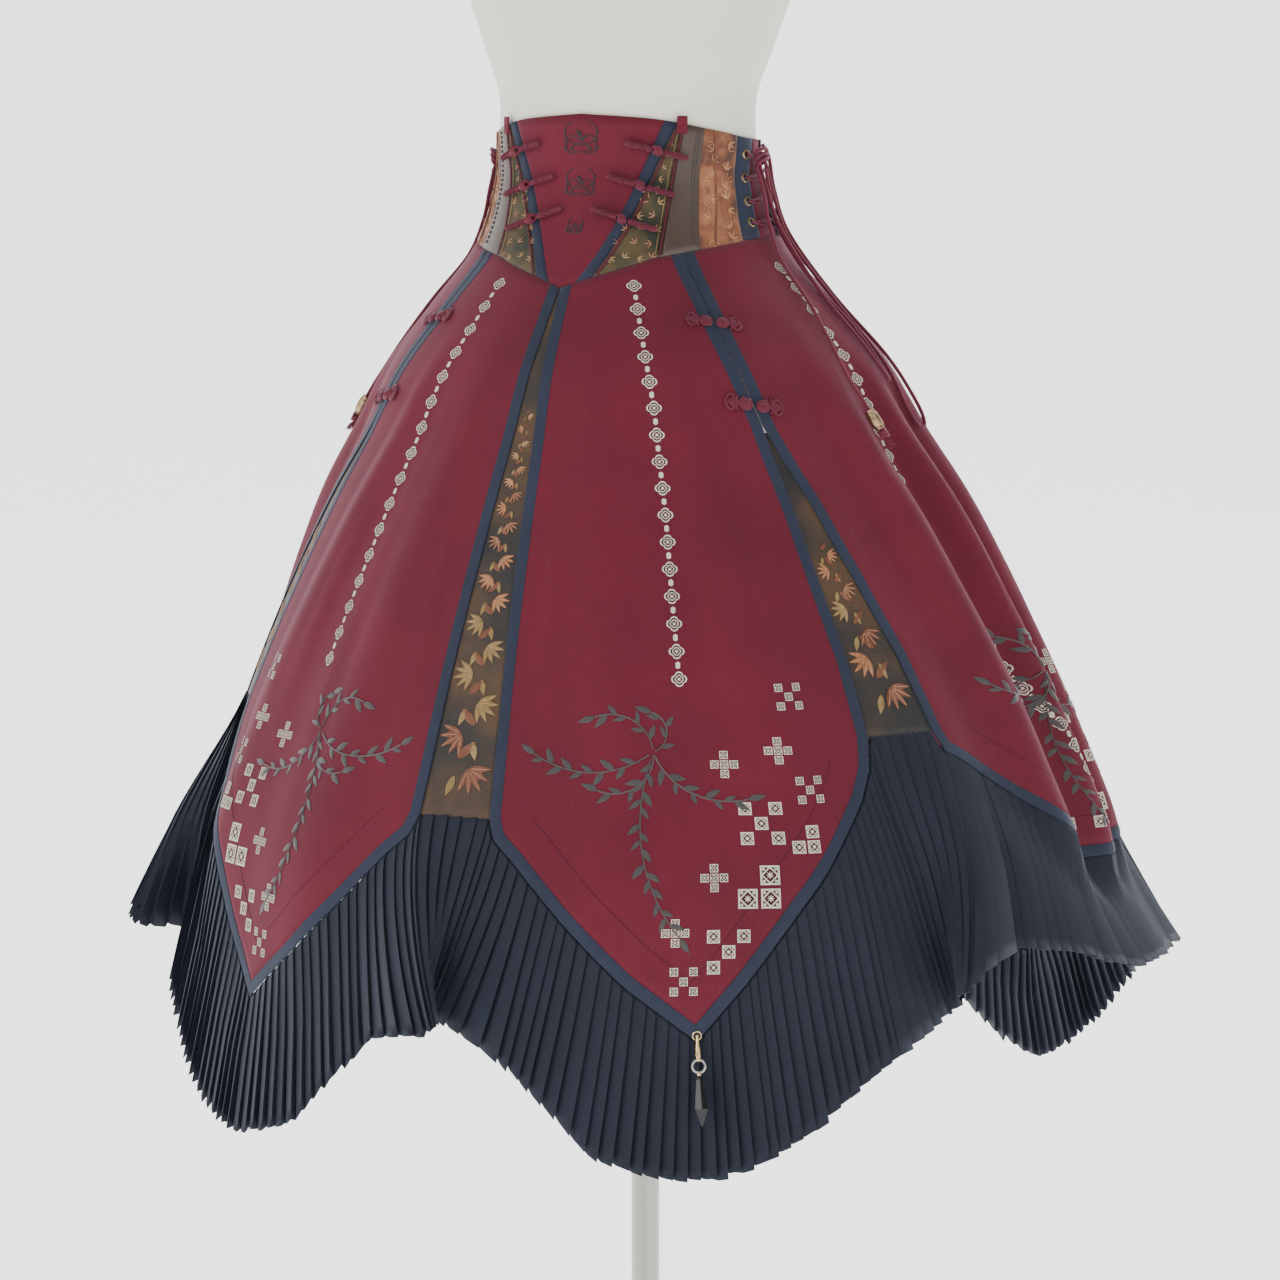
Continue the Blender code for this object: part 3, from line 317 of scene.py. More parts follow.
BOW_LOOP_SHORT = [
    CordPoint(88.0, 1.105, 0.008),
    CordPoint(90, 1.085, 0.010),
    CordPoint(90.5, 1.050, 0.0110),
    CordPoint(90.0, 1.000, 0.0056),
    CordPoint(89.3, 0.960, 0.0056),
    CordPoint(89.0, 0.940, 0.0056),
    CordPoint(90.0, 0.928, 0.0056),
    CordPoint(91.6, 0.930, 0.0056),
    CordPoint(92.4, 0.945, 0.0056),
    CordPoint(92.6, 0.970, 0.0056),
    CordPoint(92.5, 1.010, 0.0050),
    CordPoint(92.2, 1.050, 0.0080),
    CordPoint(91.8, 1.080, 0.0110),
    CordPoint(90.4, 1.098, 0.0125),
]
CORD_END = [
    CordPoint(86.0, 1.100, 0.0075),
    CordPoint(86.5, 1.080, 0.0100),
    CordPoint(85, 1.055, 0.0080),
    CordPoint(82, 1.025, 0.0050),
    CordPoint(78, 0.990, 0.0050),
    CordPoint(75, 0.955, 0.0056),
    CordPoint(74, 0.930, 0.0060),
    CordPoint(74.5, 0.912, 0.0090),
    CordPoint(74.8, 0.905, 0.0100),
]


def read_curve(points, x):
    """A smooth curve through (x, value) pairs, read at one place or many."""
    xs = np.array([p[0] for p in points], float)
    ys = np.array([p[1] for p in points], float)
    x = np.clip(np.asarray(x, float), xs[0], xs[-1])
    i = np.clip(np.searchsorted(xs, x, side="right") - 1, 0, len(xs) - 2)
    span = np.diff(xs)
    chord = np.diff(ys) / span
    slope = np.zeros(len(xs))
    slope[0] = chord[0]
    slope[-1] = chord[-1]
    product = chord[:-1] * chord[1:]
    total = np.where(product > 0, chord[:-1] + chord[1:], 1.0)
    slope[1:-1] = np.where(product > 0, 2 * product / total, 0.0)
    s = (x - xs[i]) / span[i]
    return (
        ys[i] * (1 + 2 * s) * (1 - s) ** 2
        + slope[i] * span[i] * s * (1 - s) ** 2
        + ys[i + 1] * s * s * (3 - 2 * s)
        + slope[i + 1] * span[i] * s * s * (s - 1)
    )


def column(table, name):
    return [(row[0], getattr(row, name)) for row in table]


HALF_WIDTH = column(CLOTH_SECTIONS, "half_width")
HALF_DEPTH = column(CLOTH_SECTIONS, "half_depth")
CENTRE_Y = column(CLOTH_SECTIONS, "centre_y")
SLIT_LINE = column(SIDE_FRONT_SLIT, "angle")
HEM_Z = column(HEM, "z")
HEM_FLARE = column(HEM, "flare")


def section(z):
    return read_curve(HALF_WIDTH, z), read_curve(HALF_DEPTH, z), read_curve(CENTRE_Y, z)


def metres_per_degree(angle, z):
    a, b, _ = section(z)
    t = np.radians(angle)
    return math.radians(1.0) * np.hypot(a * np.cos(t), b * np.sin(t))


def slope_length(z):
    step = 0.01
    rise = (section(z + step)[0] - section(z - step)[0]) / (2 * step)
    return np.hypot(1.0, rise)


def nominal_angle(angle, z):
    side = np.abs(angle)
    slit = read_curve(SLIT_LINE, z)
    front = 60 * side / slit
    middle = 60 + 60 * (side - slit) / (120 - slit)
    return np.where(side < slit, front, np.where(side < 120, middle, side))


def bump(away):
    return np.where(np.abs(away) < 1, np.cos(np.clip(away, -1, 1) * math.pi / 2) ** 2, 0.0)


def fold_offset(angle, z):
    angle = 180 - np.abs(180 - np.abs(angle))
    place = nominal_angle(angle, z)
    down = np.clip((FOLDS_START - z) / (FOLDS_START - FOLDS_FULL), 0, 1)
    travel = np.clip((FOLDS_START - z) / 0.45, 0, 1)
    total = 0.0
    for fold in FOLDS:
        middle = fold.top_angle + (fold.hem_angle - fold.top_angle) * travel
        total = total + fold.height * bump((place - middle) / fold.half_width)
    total = total * down * down * (3 - 2 * down)
    for crease in CREASES:
        middle = crease.top_angle + (crease.hem_angle - crease.top_angle) * travel
        along = bump(2 * (z - (crease.start + crease.end) / 2) / (crease.start - crease.end))
        total = total + crease.height * along * bump((place - middle) / crease.half_width)
    return total


def cloth(angle, z, out=0.0, folded=1.0):
    """Points of the worn cloth for arrays of places; folded scales its folds."""
    angle, z, out = np.broadcast_arrays(np.asarray(angle, float), np.asarray(z, float), out)
    a, b, centre = section(z)
    t = np.radians(angle)
    nx = b * np.sin(t)
    ny = -a * np.cos(t)
    long = np.hypot(nx, ny)
    lift = out + folded * fold_offset(angle, z)
    x = a * np.sin(t) + nx / long * lift
    y = centre - b * np.cos(t) + ny / long * lift
    return np.stack([x, y, z], axis=-1)


def mirrored(points):
    return np.asarray(points) * np.array([-1.0, 1.0, 1.0])


# Meshes


def add_piece(
    name, points, faces, material, slot, replaces=(), body=GARMENT, smooth=True, wall=0.0, sharp=40
):
    mesh = bpy.data.meshes.new(name)
    mesh.from_pydata(np.asarray(points, float).reshape(-1, 3).tolist(), [], faces)
    mesh.update()
    if smooth:
        mesh.shade_smooth()
        mesh.set_sharp_from_angle(angle=math.radians(sharp))
    mesh.materials.append(material)
    piece = bpy.data.objects.new(name, mesh)
    bpy.context.scene.collection.objects.link(piece)
    if wall:
        solid = piece.modifiers.new("wall", "SOLIDIFY")
        solid.thickness = wall
        solid.offset = -1.0
    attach(piece, body)
    if replaces:
        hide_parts(*replaces)
    return piece


def grid_faces(rows, columns):
    faces = []
    for r in range(rows - 1):
        for c in range(columns - 1):
            corner = r * columns + c
            faces.append((corner, corner + columns, corner + columns + 1, corner + 1))
    return faces


def grid_piece(name, grid, material, slot, mirror=False, **more):
    """A sheet through a grid of points, rows top to bottom and left to right as seen from outside."""
    grid = np.asarray(grid)
    if mirror:
        grid = mirrored(grid[:, ::-1])
    return add_piece(name, grid, grid_faces(*grid.shape[:2]), material, slot, **more)


def both_sides(name, grid, material, slot, **more):
    pieces = []
    for side in ("_r", "_l"):
        piece = grid_piece(
            name + side + "_cloth", grid, material, slot, mirror=side == "_l", replaces=[name + side],
            **more,
        )
        pieces.append(piece)
    return pieces


def refine(grid, down, across):
    """Divides a coarse grid of (angle, z) into smaller cells."""
    grid = np.asarray(grid, float)
    rows, columns = grid.shape[:2]
    r = np.linspace(0, rows - 1, (rows - 1) * down + 1)
    c = np.linspace(0, columns - 1, (columns - 1) * across + 1)
    r0 = np.minimum(r.astype(int), rows - 2)
    c0 = np.minimum(c.astype(int), columns - 2)
    fr = (r - r0)[:, None, None]
    fc = (c - c0)[None, :, None]
    top = grid[r0][:, c0] * (1 - fc) + grid[r0][:, c0 + 1] * fc
    low = grid[r0 + 1][:, c0] * (1 - fc) + grid[r0 + 1][:, c0 + 1] * fc
    return top * (1 - fr) + low * fr


def tube_arrays(line, radius, sides, closed=False):
    """Points and faces of a round tube along a line."""
    line = np.asarray(line, float)
    count = len(line)
    radius = np.broadcast_to(np.asarray(radius, float), (count,))
    if closed:
        tangent = np.roll(line, -1, 0) - np.roll(line, 1, 0)
    else:
        tangent = np.gradient(line, axis=0)
    tangent /= np.linalg.norm(tangent, axis=1)[:, None] + 1e-12
    start = np.array([0.0, 0.0, 1.0]) if abs(tangent[0][2]) < 0.9 else np.array([1.0, 0.0, 0.0])
    normal = np.cross(tangent[0], start)
    normals = []
    for t in tangent:
        normal = normal - t * np.dot(normal, t)
        normal = normal / (np.linalg.norm(normal) + 1e-12)
        normals.append(normal)
    normals = np.array(normals)
    beside = np.cross(tangent, normals)
    turn = np.linspace(0, 2 * math.pi, sides, endpoint=False)
    ring = normals[:, None] * np.cos(turn)[None, :, None] + beside[:, None] * np.sin(turn)[None, :, None]
    points = (line[:, None] + ring * radius[:, None, None]).reshape(-1, 3)
    faces = []
    last = count if closed else count - 1
    for i in range(last):
        j = (i + 1) % count
        for k in range(sides):
            n = (k + 1) % sides
            faces.append((i * sides + k, i * sides + n, j * sides + n, j * sides + k))
    if not closed:
        faces.append(tuple(reversed(range(sides))))
        faces.append(tuple(range((count - 1) * sides, count * sides)))
    return points, faces


class Batch:
    """Gathers many small shapes into one piece."""

    def __init__(self):
        self.points = []
        self.faces = []
        self.count = 0

    def add(self, points, faces):
        self.points.append(np.asarray(points, float).reshape(-1, 3))
        self.faces += [tuple(i + self.count for i in face) for face in faces]
        self.count += len(self.points[-1])

    def tube(self, line, radius, sides=6, closed=False):
        self.add(*tube_arrays(line, radius, sides, closed))

    def both(self, points, faces):
        """The same shape at +X and mirrored to -X."""
        self.add(points, faces)
        self.add(mirrored(points), [tuple(reversed(face)) for face in faces])

    def both_tubes(self, line, radius, sides=6, closed=False):
        self.both(*tube_arrays(line, radius, sides, closed))

    def piece(self, name, material, slot, **more):
        return add_piece(name, np.concatenate(self.points), self.faces, material, slot, **more)


# Materials


class Nodes:
    """A Principled material whose colour and relief are built up node by node."""

    def __init__(self, name, roughness, metallic=0.0, **constant):
        self.material = bpy.data.materials.new(name)
        self.material.use_nodes = True
        self.tree = self.material.node_tree
        self.shader = self.tree.nodes["Principled BSDF"]
        self.shader.inputs["Roughness"].default_value = roughness
        self.shader.inputs["Metallic"].default_value = metallic
        for key, value in constant.items():
            self.shader.inputs[key.replace("_", " ")].default_value = value
        self.place = self.add("ShaderNodeTexCoord").outputs["Object"]

    def add(self, kind, **settings):
        node = self.tree.nodes.new(kind)
        for key, value in settings.items():
            setattr(node, key, value)
        return node

    def join(self, out, into):
        self.tree.links.new(out, into)

    def noise(self, scale, detail=2.0, place=None):
        node = self.add("ShaderNodeTexNoise")
        node.inputs["Scale"].default_value = scale
        node.inputs["Detail"].default_value = detail
        self.join(place or self.place, node.inputs["Vector"])
        return node.outputs["Fac"]

    def wave(self, scale, direction="DIAGONAL", distortion=0.0, place=None):
        node = self.add("ShaderNodeTexWave", bands_direction=direction)
        node.inputs["Scale"].default_value = scale
        node.inputs["Distortion"].default_value = distortion
        self.join(place or self.place, node.inputs["Vector"])
        return node.outputs["Fac"]

    def ramp(self, value, stops):
        node = self.add("ShaderNodeValToRGB")
        ramp = node.color_ramp
        while len(ramp.elements) < len(stops):
            ramp.elements.new(0.5)
        for element, (place, colour) in zip(ramp.elements, stops):
            element.position = place
            element.color = (*colour, 1.0)
        self.join(value, node.inputs["Fac"])
        return node.outputs["Color"]

    def mix(self, fac, first, second, blend="MIX"):
        node = self.add("ShaderNodeMix", data_type="RGBA", blend_type=blend)
        for slot, value in ((0, fac), (6, first), (7, second)):
            if isinstance(value, (tuple, float, int)):
                node.inputs[slot].default_value = (*value, 1.0) if isinstance(value, tuple) else value
            else:
                self.join(value, node.inputs[slot])
        return node.outputs[2]

    def colour(self, value):
        if isinstance(value, tuple):
            self.shader.inputs["Base Color"].default_value = (*value, 1.0)
        else:
            self.join(value, self.shader.inputs["Base Color"])

    def relief(self, value, strength, distance):
        node = self.add("ShaderNodeBump")
        node.inputs["Strength"].default_value = strength
        node.inputs["Distance"].default_value = distance
        self.join(value, node.inputs["Height"])
        self.join(node.outputs["Normal"], self.shader.inputs["Normal"])


def shade(colour, factor):
    return tuple(c * factor for c in colour)


def woven(
    name, colour, roughness, sheen=0.3, sheen_tint=(1.0, 0.8, 0.85), weave=1400, spread=0.12, strength=0.25
):
    """Plain or twill cloth: soft uneven colour, fine diagonal weave and a faint sheen."""
    nodes = Nodes(name, roughness, Sheen_Weight=sheen, Sheen_Roughness=0.5)
    nodes.shader.inputs["Sheen Tint"].default_value = (*sheen_tint, 1.0)
    nodes.shader.inputs["Specular IOR Level"].default_value = 0.25
    cloud = nodes.noise(14.0, 3.0)
    fine = nodes.noise(600.0, 1.0)
    base = nodes.ramp(cloud, [(0.3, shade(colour, 1 - spread)), (0.7, shade(colour, 1 + spread))])
    weft = nodes.ramp(fine, [(0.35, (0.84, 0.84, 0.84)), (0.65, (1.0, 1.0, 1.0))])
    nodes.colour(nodes.mix(1.0, base, weft, "MULTIPLY"))
    nodes.relief(nodes.wave(weave, "DIAGONAL", 1.5), strength, 0.0002)
    return nodes.material


BURGUNDY_COLOUR = (0.115, 0.0062, 0.0185)
NAVY_COLOUR = (0.017, 0.022, 0.044)
PLEAT_COLOUR = (0.0095, 0.0125, 0.024)
BURGUNDY = woven("burgundy_twill", BURGUNDY_COLOUR, 0.75, sheen=0.14, sheen_tint=(1.0, 0.45, 0.65))
# Darker burgundy: the print's own ground inside the petal motifs, and also painted shade along the facing ridge lines
# of the petals
BURGUNDY_DARK = woven("burgundy_print_ground_and_ridge_shade", shade(BURGUNDY_COLOUR, 0.45), 0.8, sheen=0.1)
NAVY = woven("navy_binding", NAVY_COLOUR, 0.7, sheen=0.12, sheen_tint=(0.7, 0.8, 1.0))
PLEAT_NAVY = woven("navy_pleats", PLEAT_COLOUR, 0.72, sheen=0.10, sheen_tint=(0.7, 0.8, 1.0), weave=1800)
CORD = woven(
    "burgundy_cord", (0.115, 0.008, 0.022), 0.55, sheen=0.3, sheen_tint=(1.0, 0.5, 0.68), weave=900,
    strength=0.5,
)
LACE = woven("burgundy_lace", (0.085, 0.006, 0.016), 0.7, sheen=0.15)
BLACK_THREAD = woven("dark_thread", (0.022, 0.016, 0.020), 0.7, sheen=0.3)
GREY_THREAD = woven("charcoal_thread", (0.048, 0.042, 0.042), 0.6, sheen=0.5, sheen_tint=(1.0, 1.0, 1.0))
IVORY = woven("ivory_print", (0.62, 0.57, 0.47), 0.5, sheen=0.1, spread=0.15)
SATIN = woven(
    "olive_satin", (0.050, 0.028, 0.018), 0.38, sheen=0.2, sheen_tint=(1.0, 0.95, 0.8), spread=0.08
)
SATIN.node_tree.nodes["Principled BSDF"].inputs["Specular IOR Level"].default_value = 0.5


def metal(name, colour, roughness, spread=0.25):
    nodes = Nodes(name, roughness, 1.0)
    cloud = nodes.noise(180.0, 3.0)
    nodes.colour(nodes.ramp(cloud, [(0.3, shade(colour, 1 - spread)), (0.7, shade(colour, 1 + spread))]))
    nodes.relief(nodes.noise(900.0, 2.0), 0.1, 0.0001)
    return nodes.material


BRASS = metal("antique_brass", (0.42, 0.30, 0.15), 0.34)
GOLD = metal("pale_gold", (0.75, 0.55, 0.25), 0.25, 0.1)
BRONZE = metal("patterned_bronze", (0.33, 0.22, 0.13), 0.42, 0.5)


def print_cloth(name, ground, clouds, lines, scale, line_mix):
    """Dark printed cloth: clouds of two tones with thin scrolling lines of a third."""
    nodes = Nodes(name, 0.6, Sheen_Weight=0.15, Sheen_Roughness=0.5)
    nodes.shader.inputs["Specular IOR Level"].default_value = 0.3
    big = nodes.noise(scale, 4.0)
    base = nodes.ramp(big, [(0.36, ground), (0.50, clouds[0]), (0.64, clouds[1])])
    swirl = nodes.wave(scale * 1.6, "Z", 14.0)
    thin = nodes.ramp(
        swirl, [(0.0, (0, 0, 0)), (0.46, (0, 0, 0)), (0.50, (1, 1, 1)), (0.54, (0, 0, 0)), (1.0, (0, 0, 0))]
    )
    masked = nodes.mix(1.0, thin, (line_mix, line_mix, line_mix), "MULTIPLY")
    nodes.colour(nodes.mix(masked, base, lines))
    nodes.relief(nodes.wave(1500, "DIAGONAL", 1.0), 0.2, 0.0002)
    return nodes.material


INSERT_PRINT = print_cloth(
    "insert_print", (0.012, 0.012, 0.013),
    ((0.030, 0.020, 0.014), (0.070, 0.036, 0.016)),
    (0.10, 0.055, 0.03), 16.0, 0.5,
)
GREEN_PRINT = print_cloth(
    "green_print", (0.012, 0.015, 0.010),
    ((0.045, 0.036, 0.014), (0.075, 0.050, 0.020)),
    (0.12, 0.08, 0.03), 40.0, 0.6,
)
COPPER_PRINT = print_cloth(
    "copper_print", (0.050, 0.018, 0.016),
    ((0.190, 0.062, 0.026), (0.300, 0.120, 0.055)),
    (0.38, 0.20, 0.11), 55.0, 0.5,
)


def feather_colour(name, base, light):
    """Copper strands along a feather or leaf, a little uneven."""
    nodes = Nodes(name, 0.6, Sheen_Weight=0.1)
    nodes.shader.inputs["Specular IOR Level"].default_value = 0.25
    strands = nodes.noise(260.0, 3.0)
    cloud = nodes.noise(50.0, 2.0)
    first = nodes.ramp(strands, [(0.38, shade(base, 0.75)), (0.62, base)])
    nodes.colour(nodes.mix(nodes.ramp(cloud, [(0.45, (0, 0, 0)), (0.7, (0.6, 0.6, 0.6))]), first, light))
    return nodes.material


COPPER = feather_colour("copper_feather", (0.30, 0.115, 0.045), (0.42, 0.20, 0.095))
ORANGE = feather_colour("orange_feather", (0.36, 0.155, 0.060), (0.48, 0.26, 0.13))
RUSSET = feather_colour("russet_leaf", (0.150, 0.050, 0.026), (0.22, 0.09, 0.05))
OCHRE = feather_colour("ochre_leaf", (0.230, 0.150, 0.050), (0.30, 0.21, 0.09))
CREAM_LINE = feather_colour("cream_outline", (0.50, 0.28, 0.16), (0.58, 0.36, 0.22))


def linen_cover():
    nodes = Nodes("cream_cover", 0.6, Sheen_Weight=0.1)
    cloud = nodes.noise(5.0, 3.0)
    nodes.colour(nodes.ramp(cloud, [(0.3, (0.72, 0.68, 0.57)), (0.7, (0.78, 0.75, 0.64))]))
    nodes.relief(nodes.noise(900.0, 2.0), 0.15, 0.0002)
    return nodes.material


def satin_steel():
    nodes = Nodes("satin_steel", 0.35, 0.85)
    brushed = nodes.wave(300.0, "Z", 2.0)
    nodes.colour(nodes.ramp(brushed, [(0.0, (0.44, 0.42, 0.37)), (1.0, (0.52, 0.50, 0.45))]))
    nodes.relief(nodes.noise(600.0, 2.0), 0.05, 0.0001)
    return nodes.material


def black_glass():
    nodes = Nodes("black_glass", 0.22)
    nodes.shader.inputs["Specular IOR Level"].default_value = 0.35
    cloud = nodes.noise(200.0, 2.0)
    nodes.colour(nodes.ramp(cloud, [(0.3, (0.004, 0.004, 0.006)), (0.7, (0.010, 0.010, 0.014))]))
    return nodes.material


LINEN = linen_cover()
STEEL = satin_steel()
GLASS = black_glass()


# Camera


def make_camera():
    data = bpy.data.cameras.new("camera")
    camera = bpy.data.objects.new("camera", data)
    bpy.context.scene.collection.objects.link(camera)
    level = math.cos(CAMERA_ELEVATION) * CAMERA_DISTANCE
    place = CAMERA_TARGET + Vector(
        (
            math.sin(CAMERA_AZIMUTH) * level,
            -math.cos(CAMERA_AZIMUTH) * level,
            math.sin(CAMERA_ELEVATION) * CAMERA_DISTANCE,
        )
    )
    camera.location = place
    camera.rotation_euler = (CAMERA_TARGET - place).to_track_quat("-Z", "Y").to_euler()
    data.sensor_width = SENSOR
    data.lens = FOCAL_PIXELS / PHOTO_PIXELS * SENSOR
    data.shift_x = (PHOTO_PIXELS / 2 - OPTICAL_CENTRE_X) / PHOTO_PIXELS
    bpy.context.scene.camera = camera


make_camera()


# Cords


def smooth_route(points, steps=(0.0, 0.5)):
    points = [np.asarray(p) for p in points]
    result = []
    for i in range(len(points) - 1):
        before = points[max(0, i - 1)]
        first, second = points[i], points[i + 1]
        after = points[min(len(points) - 1, i + 2)]
        for s in steps:
            h1 = 2 * s**3 - 3 * s**2 + 1
            h2 = s**3 - 2 * s**2 + s
            h3 = -2 * s**3 + 3 * s**2
            h4 = s**3 - s**2
            result.append(first * h1 + (second - before) / 2 * h2 + second * h3 + (after - first) / 2 * h4)
    result.append(points[-1])
    return np.array(result)


FINE_STEPS = tuple(k / 8 for k in range(8))


def cord_route(route):
    return smooth_route([cloth(p.angle, p.z, p.off) for p in route], FINE_STEPS)


def line_length(line):
    return float(np.linalg.norm(np.diff(line, axis=0), axis=1).sum())


TurnedPoint = namedtuple("TurnedPoint", "radius along")
BEAD_PROFILE = [
    TurnedPoint(0.0012, 0.0),
    TurnedPoint(0.0034, 0.0),
    TurnedPoint(0.0040, 0.0008),
    TurnedPoint(0.0036, 0.0022),
    TurnedPoint(0.0047, 0.0036),
    TurnedPoint(0.0049, 0.0090),
    TurnedPoint(0.0047, 0.0144),
    TurnedPoint(0.0036, 0.0158),
    TurnedPoint(0.0040, 0.0170),
    TurnedPoint(0.0032, 0.0180),
    TurnedPoint(0.0012, 0.0180),
]
KNOT_PLACE = 0.0225
KNOT_RADIUS = 0.0042
FRINGE_END = 0.0370
FRINGE_STRANDS = 14


def across_of(direction):
    first = np.cross(direction, (0.0, 0.0, 1.0))
    first = first / np.linalg.norm(first)
    return first, np.cross(direction, first)


def turned_arrays(start, direction, profile, sides, ripple=0.0):
    """A turned solid along a direction, its middle stretch set with small raised studs."""
    first, second = across_of(direction)
    turn = np.linspace(0, 2 * math.pi, sides, endpoint=False)
    points = []
    for k, row in enumerate(profile):
        stud = ripple * (1 if k % 2 else -1) * np.cos(turn * 6)
        radius = (row.radius + stud)[:, None]
        ring = first * np.cos(turn)[:, None] + second * np.sin(turn)[:, None]
        points.append(start + direction * row.along + ring * radius)
    faces = [tuple(range(sides))]
    for r in range(len(profile) - 1):
        for k in range(sides):
            low = r * sides + k
            beside = r * sides + (k + 1) % sides
            faces.append((low, low + sides, beside + sides, beside))
    last = (len(profile) - 1) * sides
    faces.append(tuple(reversed(range(last, last + sides))))
    return np.concatenate(points), faces


def make_bead(side, path):
    """The turned bronze bead on a cord's end, and the knot and frayed end below it."""
    direction = path[-1] - path[-2]
    direction = direction / np.linalg.norm(direction)
    start = path[-1] + direction * 0.0003
    points, faces = turned_arrays(start, direction, BEAD_PROFILE, 24, 0.00018)
    bead = add_piece(
        "cord_bead" + side + "_metal", points, faces, BRONZE, "antique_brass", replaces=["cord_bead" + side]
    )
    first, second = across_of(direction)
    batch = Batch()
    centre = start + direction * KNOT_PLACE
    turn = np.linspace(0, 2 * math.pi, 18, endpoint=False)
    for lean in (-0.7, 0.0, 0.7):
        ring = first * np.cos(turn)[:, None] + second * np.sin(turn)[:, None]
        tilt = direction * (np.sin(turn) * lean * KNOT_RADIUS)[:, None]
        batch.tube(centre + ring * (KNOT_RADIUS - 0.0016) + tilt, 0.0016, 6, True)
    rng = random.Random(3)
    top = start + direction * (BEAD_PROFILE[-1].along - 0.001)
    batch.tube(np.array([top, centre, start + direction * (KNOT_PLACE + 0.006)]), 0.0014, 8)
    for _ in range(FRINGE_STRANDS):
        spin = rng.uniform(0, 2 * math.pi)
        spread = rng.uniform(0.0010, 0.0038)
        out = first * math.cos(spin) + second * math.sin(spin)
        end = start + direction * (FRINGE_END - rng.uniform(0.0, 0.004)) + out * spread
        root = start + direction * (KNOT_PLACE + 0.003)
        middle = (root + end) / 2 + out * 0.0008
        batch.tube(np.array([root, middle, end]), np.array([0.0007, 0.0006, 0.0004]), 5)
    knot = batch.piece("cord_knot" + side, CORD, "burgundy_cord")
    return [bead, knot]


def make_hanging_cords():
    routes = (
        ("bow_loop_long", BOW_LOOP_LONG, "object"),
        ("bow_loop_short", BOW_LOOP_SHORT, "object"),
        ("cord_end", CORD_END, "fitting"),
    )
    for name, route, far_end in routes:
        line = cord_route(route)
        for side in ("_r", "_l"):
            path = line if side == "_r" else mirrored(line)
            points, faces = tube_arrays(path, CORD_RADIUS, 10)
            piece = add_piece(
                name + side + "_cord", points, faces, CORD, "burgundy_cord", replaces=[name + side]
            )
            make_bead(side, path) if far_end == "fitting" else []


make_hanging_cords()


# Petals


def linear(points, x):
    xs, ys = zip(*points)
    return np.interp(x, xs, ys)


def from_front(angle):
    return 180 - np.abs(180 - np.abs(angle))


def waist_z(angle):
    return linear(WAIST_SEAM, from_front(angle))


def top_z(angle):
    return read_curve(CORSET_TOP, from_front(angle))


def slit_angle(slit, z):
    return float(read_curve(SLIT_LINE, z)) if slit == 60 else float(slit)


def slit_top(slit):
    return float(waist_z(slit_angle(slit, 1.03))) - 2 * HALF_SEAM


def slit_row_z(slit, share):
    top = slit_top(slit)
    return top + (SLITS[slit].insert_bottom - top) * share


def slit_open(slit, z):
    row = SLITS[slit]
    start = slit_row_z(slit, PETAL_ROWS[row.closed_rows])
    return max(0.0, row.opening_rate * (start - max(z, row.insert_bottom)))


def petal_side(slit, z, direction):
    middle = slit_angle(slit, z)
    reach = slit_open(slit, z) + HALF_SEAM
    return middle + direction * reach / float(metres_per_degree(middle, z))


def lower_edge(edge):
    points = [(edge[0].angle, edge[0].z)]
    for first, second in zip(edge, edge[1:]):
        parts = math.ceil((second.angle - first.angle) / WIDEST_COLUMN)
        for k in range(1, parts + 1):
            share = k / parts
            angle = first.angle + (second.angle - first.angle) * share
            points.append((angle, first.z + (second.z - first.z) * share))
    return points


def inset_line(points, distance):
    moved = []
    for i, (angle, z) in enumerate(points):
        across = float(metres_per_degree(angle, z))
        along = float(slope_length(z))
        nx = ny = 0.0
        used = 0
        for j, k in ((i - 1, i), (i, i + 1)):
            if j < 0 or k >= len(points):
                continue
            dx = (points[k][0] - points[j][0]) * across
            dy = (points[k][1] - points[j][1]) * along
            length = math.hypot(dx, dy)
            nx -= dy / length
            ny += dx / length
            used += 1
        scale = distance * used / (nx * nx + ny * ny)
        moved.append((angle + nx * scale / across, z + ny * scale / along))
    return moved


def petal_outline(kind):
    left, right, edge = PETALS[kind]
    down = [slit_row_z(left, share) for share in PETAL_ROWS]
    up = [slit_row_z(right, share) for share in reversed(PETAL_ROWS)]
    bottom = lower_edge(edge)
    bottom[0] = (petal_side(left, bottom[0][1], 1), bottom[0][1])
    bottom[-1] = (petal_side(right, bottom[-1][1], -1), bottom[-1][1])
    line = [(petal_side(left, z, 1), z) for z in down[:-1]]
    line += bottom
    line += [(petal_side(right, z, -1), z) for z in up[1:]]
    return line, len(down) - 1, len(bottom)


def petal_line(kind, distance):
    line = inset_line(petal_outline(kind)[0], distance)
    for end in (0, -1):
        angle = line[end][0]
        line[end] = (angle, float(waist_z(angle)) - 2 * HALF_SEAM)
    return line


def petal_grid(kind, distance):
    _, first, count = petal_outline(kind)
    line = petal_line(kind, distance)
    bottom = line[first : first + count]
    left = line[: first + 1]
    right = list(reversed(line[first + count - 1 :]))
    span = bottom[-1][0] - bottom[0][0]
    shares = [(angle - bottom[0][0]) / span for angle, _ in bottom]
    rows = []
    for j, down in enumerate(PETAL_ROWS):
        row = []
        for i, share in enumerate(shares):
            angle = left[j][0] + (right[j][0] - left[j][0]) * share
            top_angle = left[0][0] + (right[0][0] - left[0][0]) * share
            top = float(waist_z(top_angle)) - 2 * HALF_SEAM
            row.append((angle, top + (bottom[i][1] - top) * down))
        rows.append(row)
    for j in range(len(PETAL_ROWS)):
        rows[j][0] = left[j]
        rows[j][-1] = right[j]
    return rows


def on_cloth(grid, out=0.0):
    grid = np.asarray(grid)
    return cloth(grid[..., 0], grid[..., 1], out)


def declare_sheet(grid, slack=1.0):
    """Measures a piece's width laid flat, its longest row times slack; the result is not kept."""
    width = max(line_length(row) for row in grid)
    width *= slack


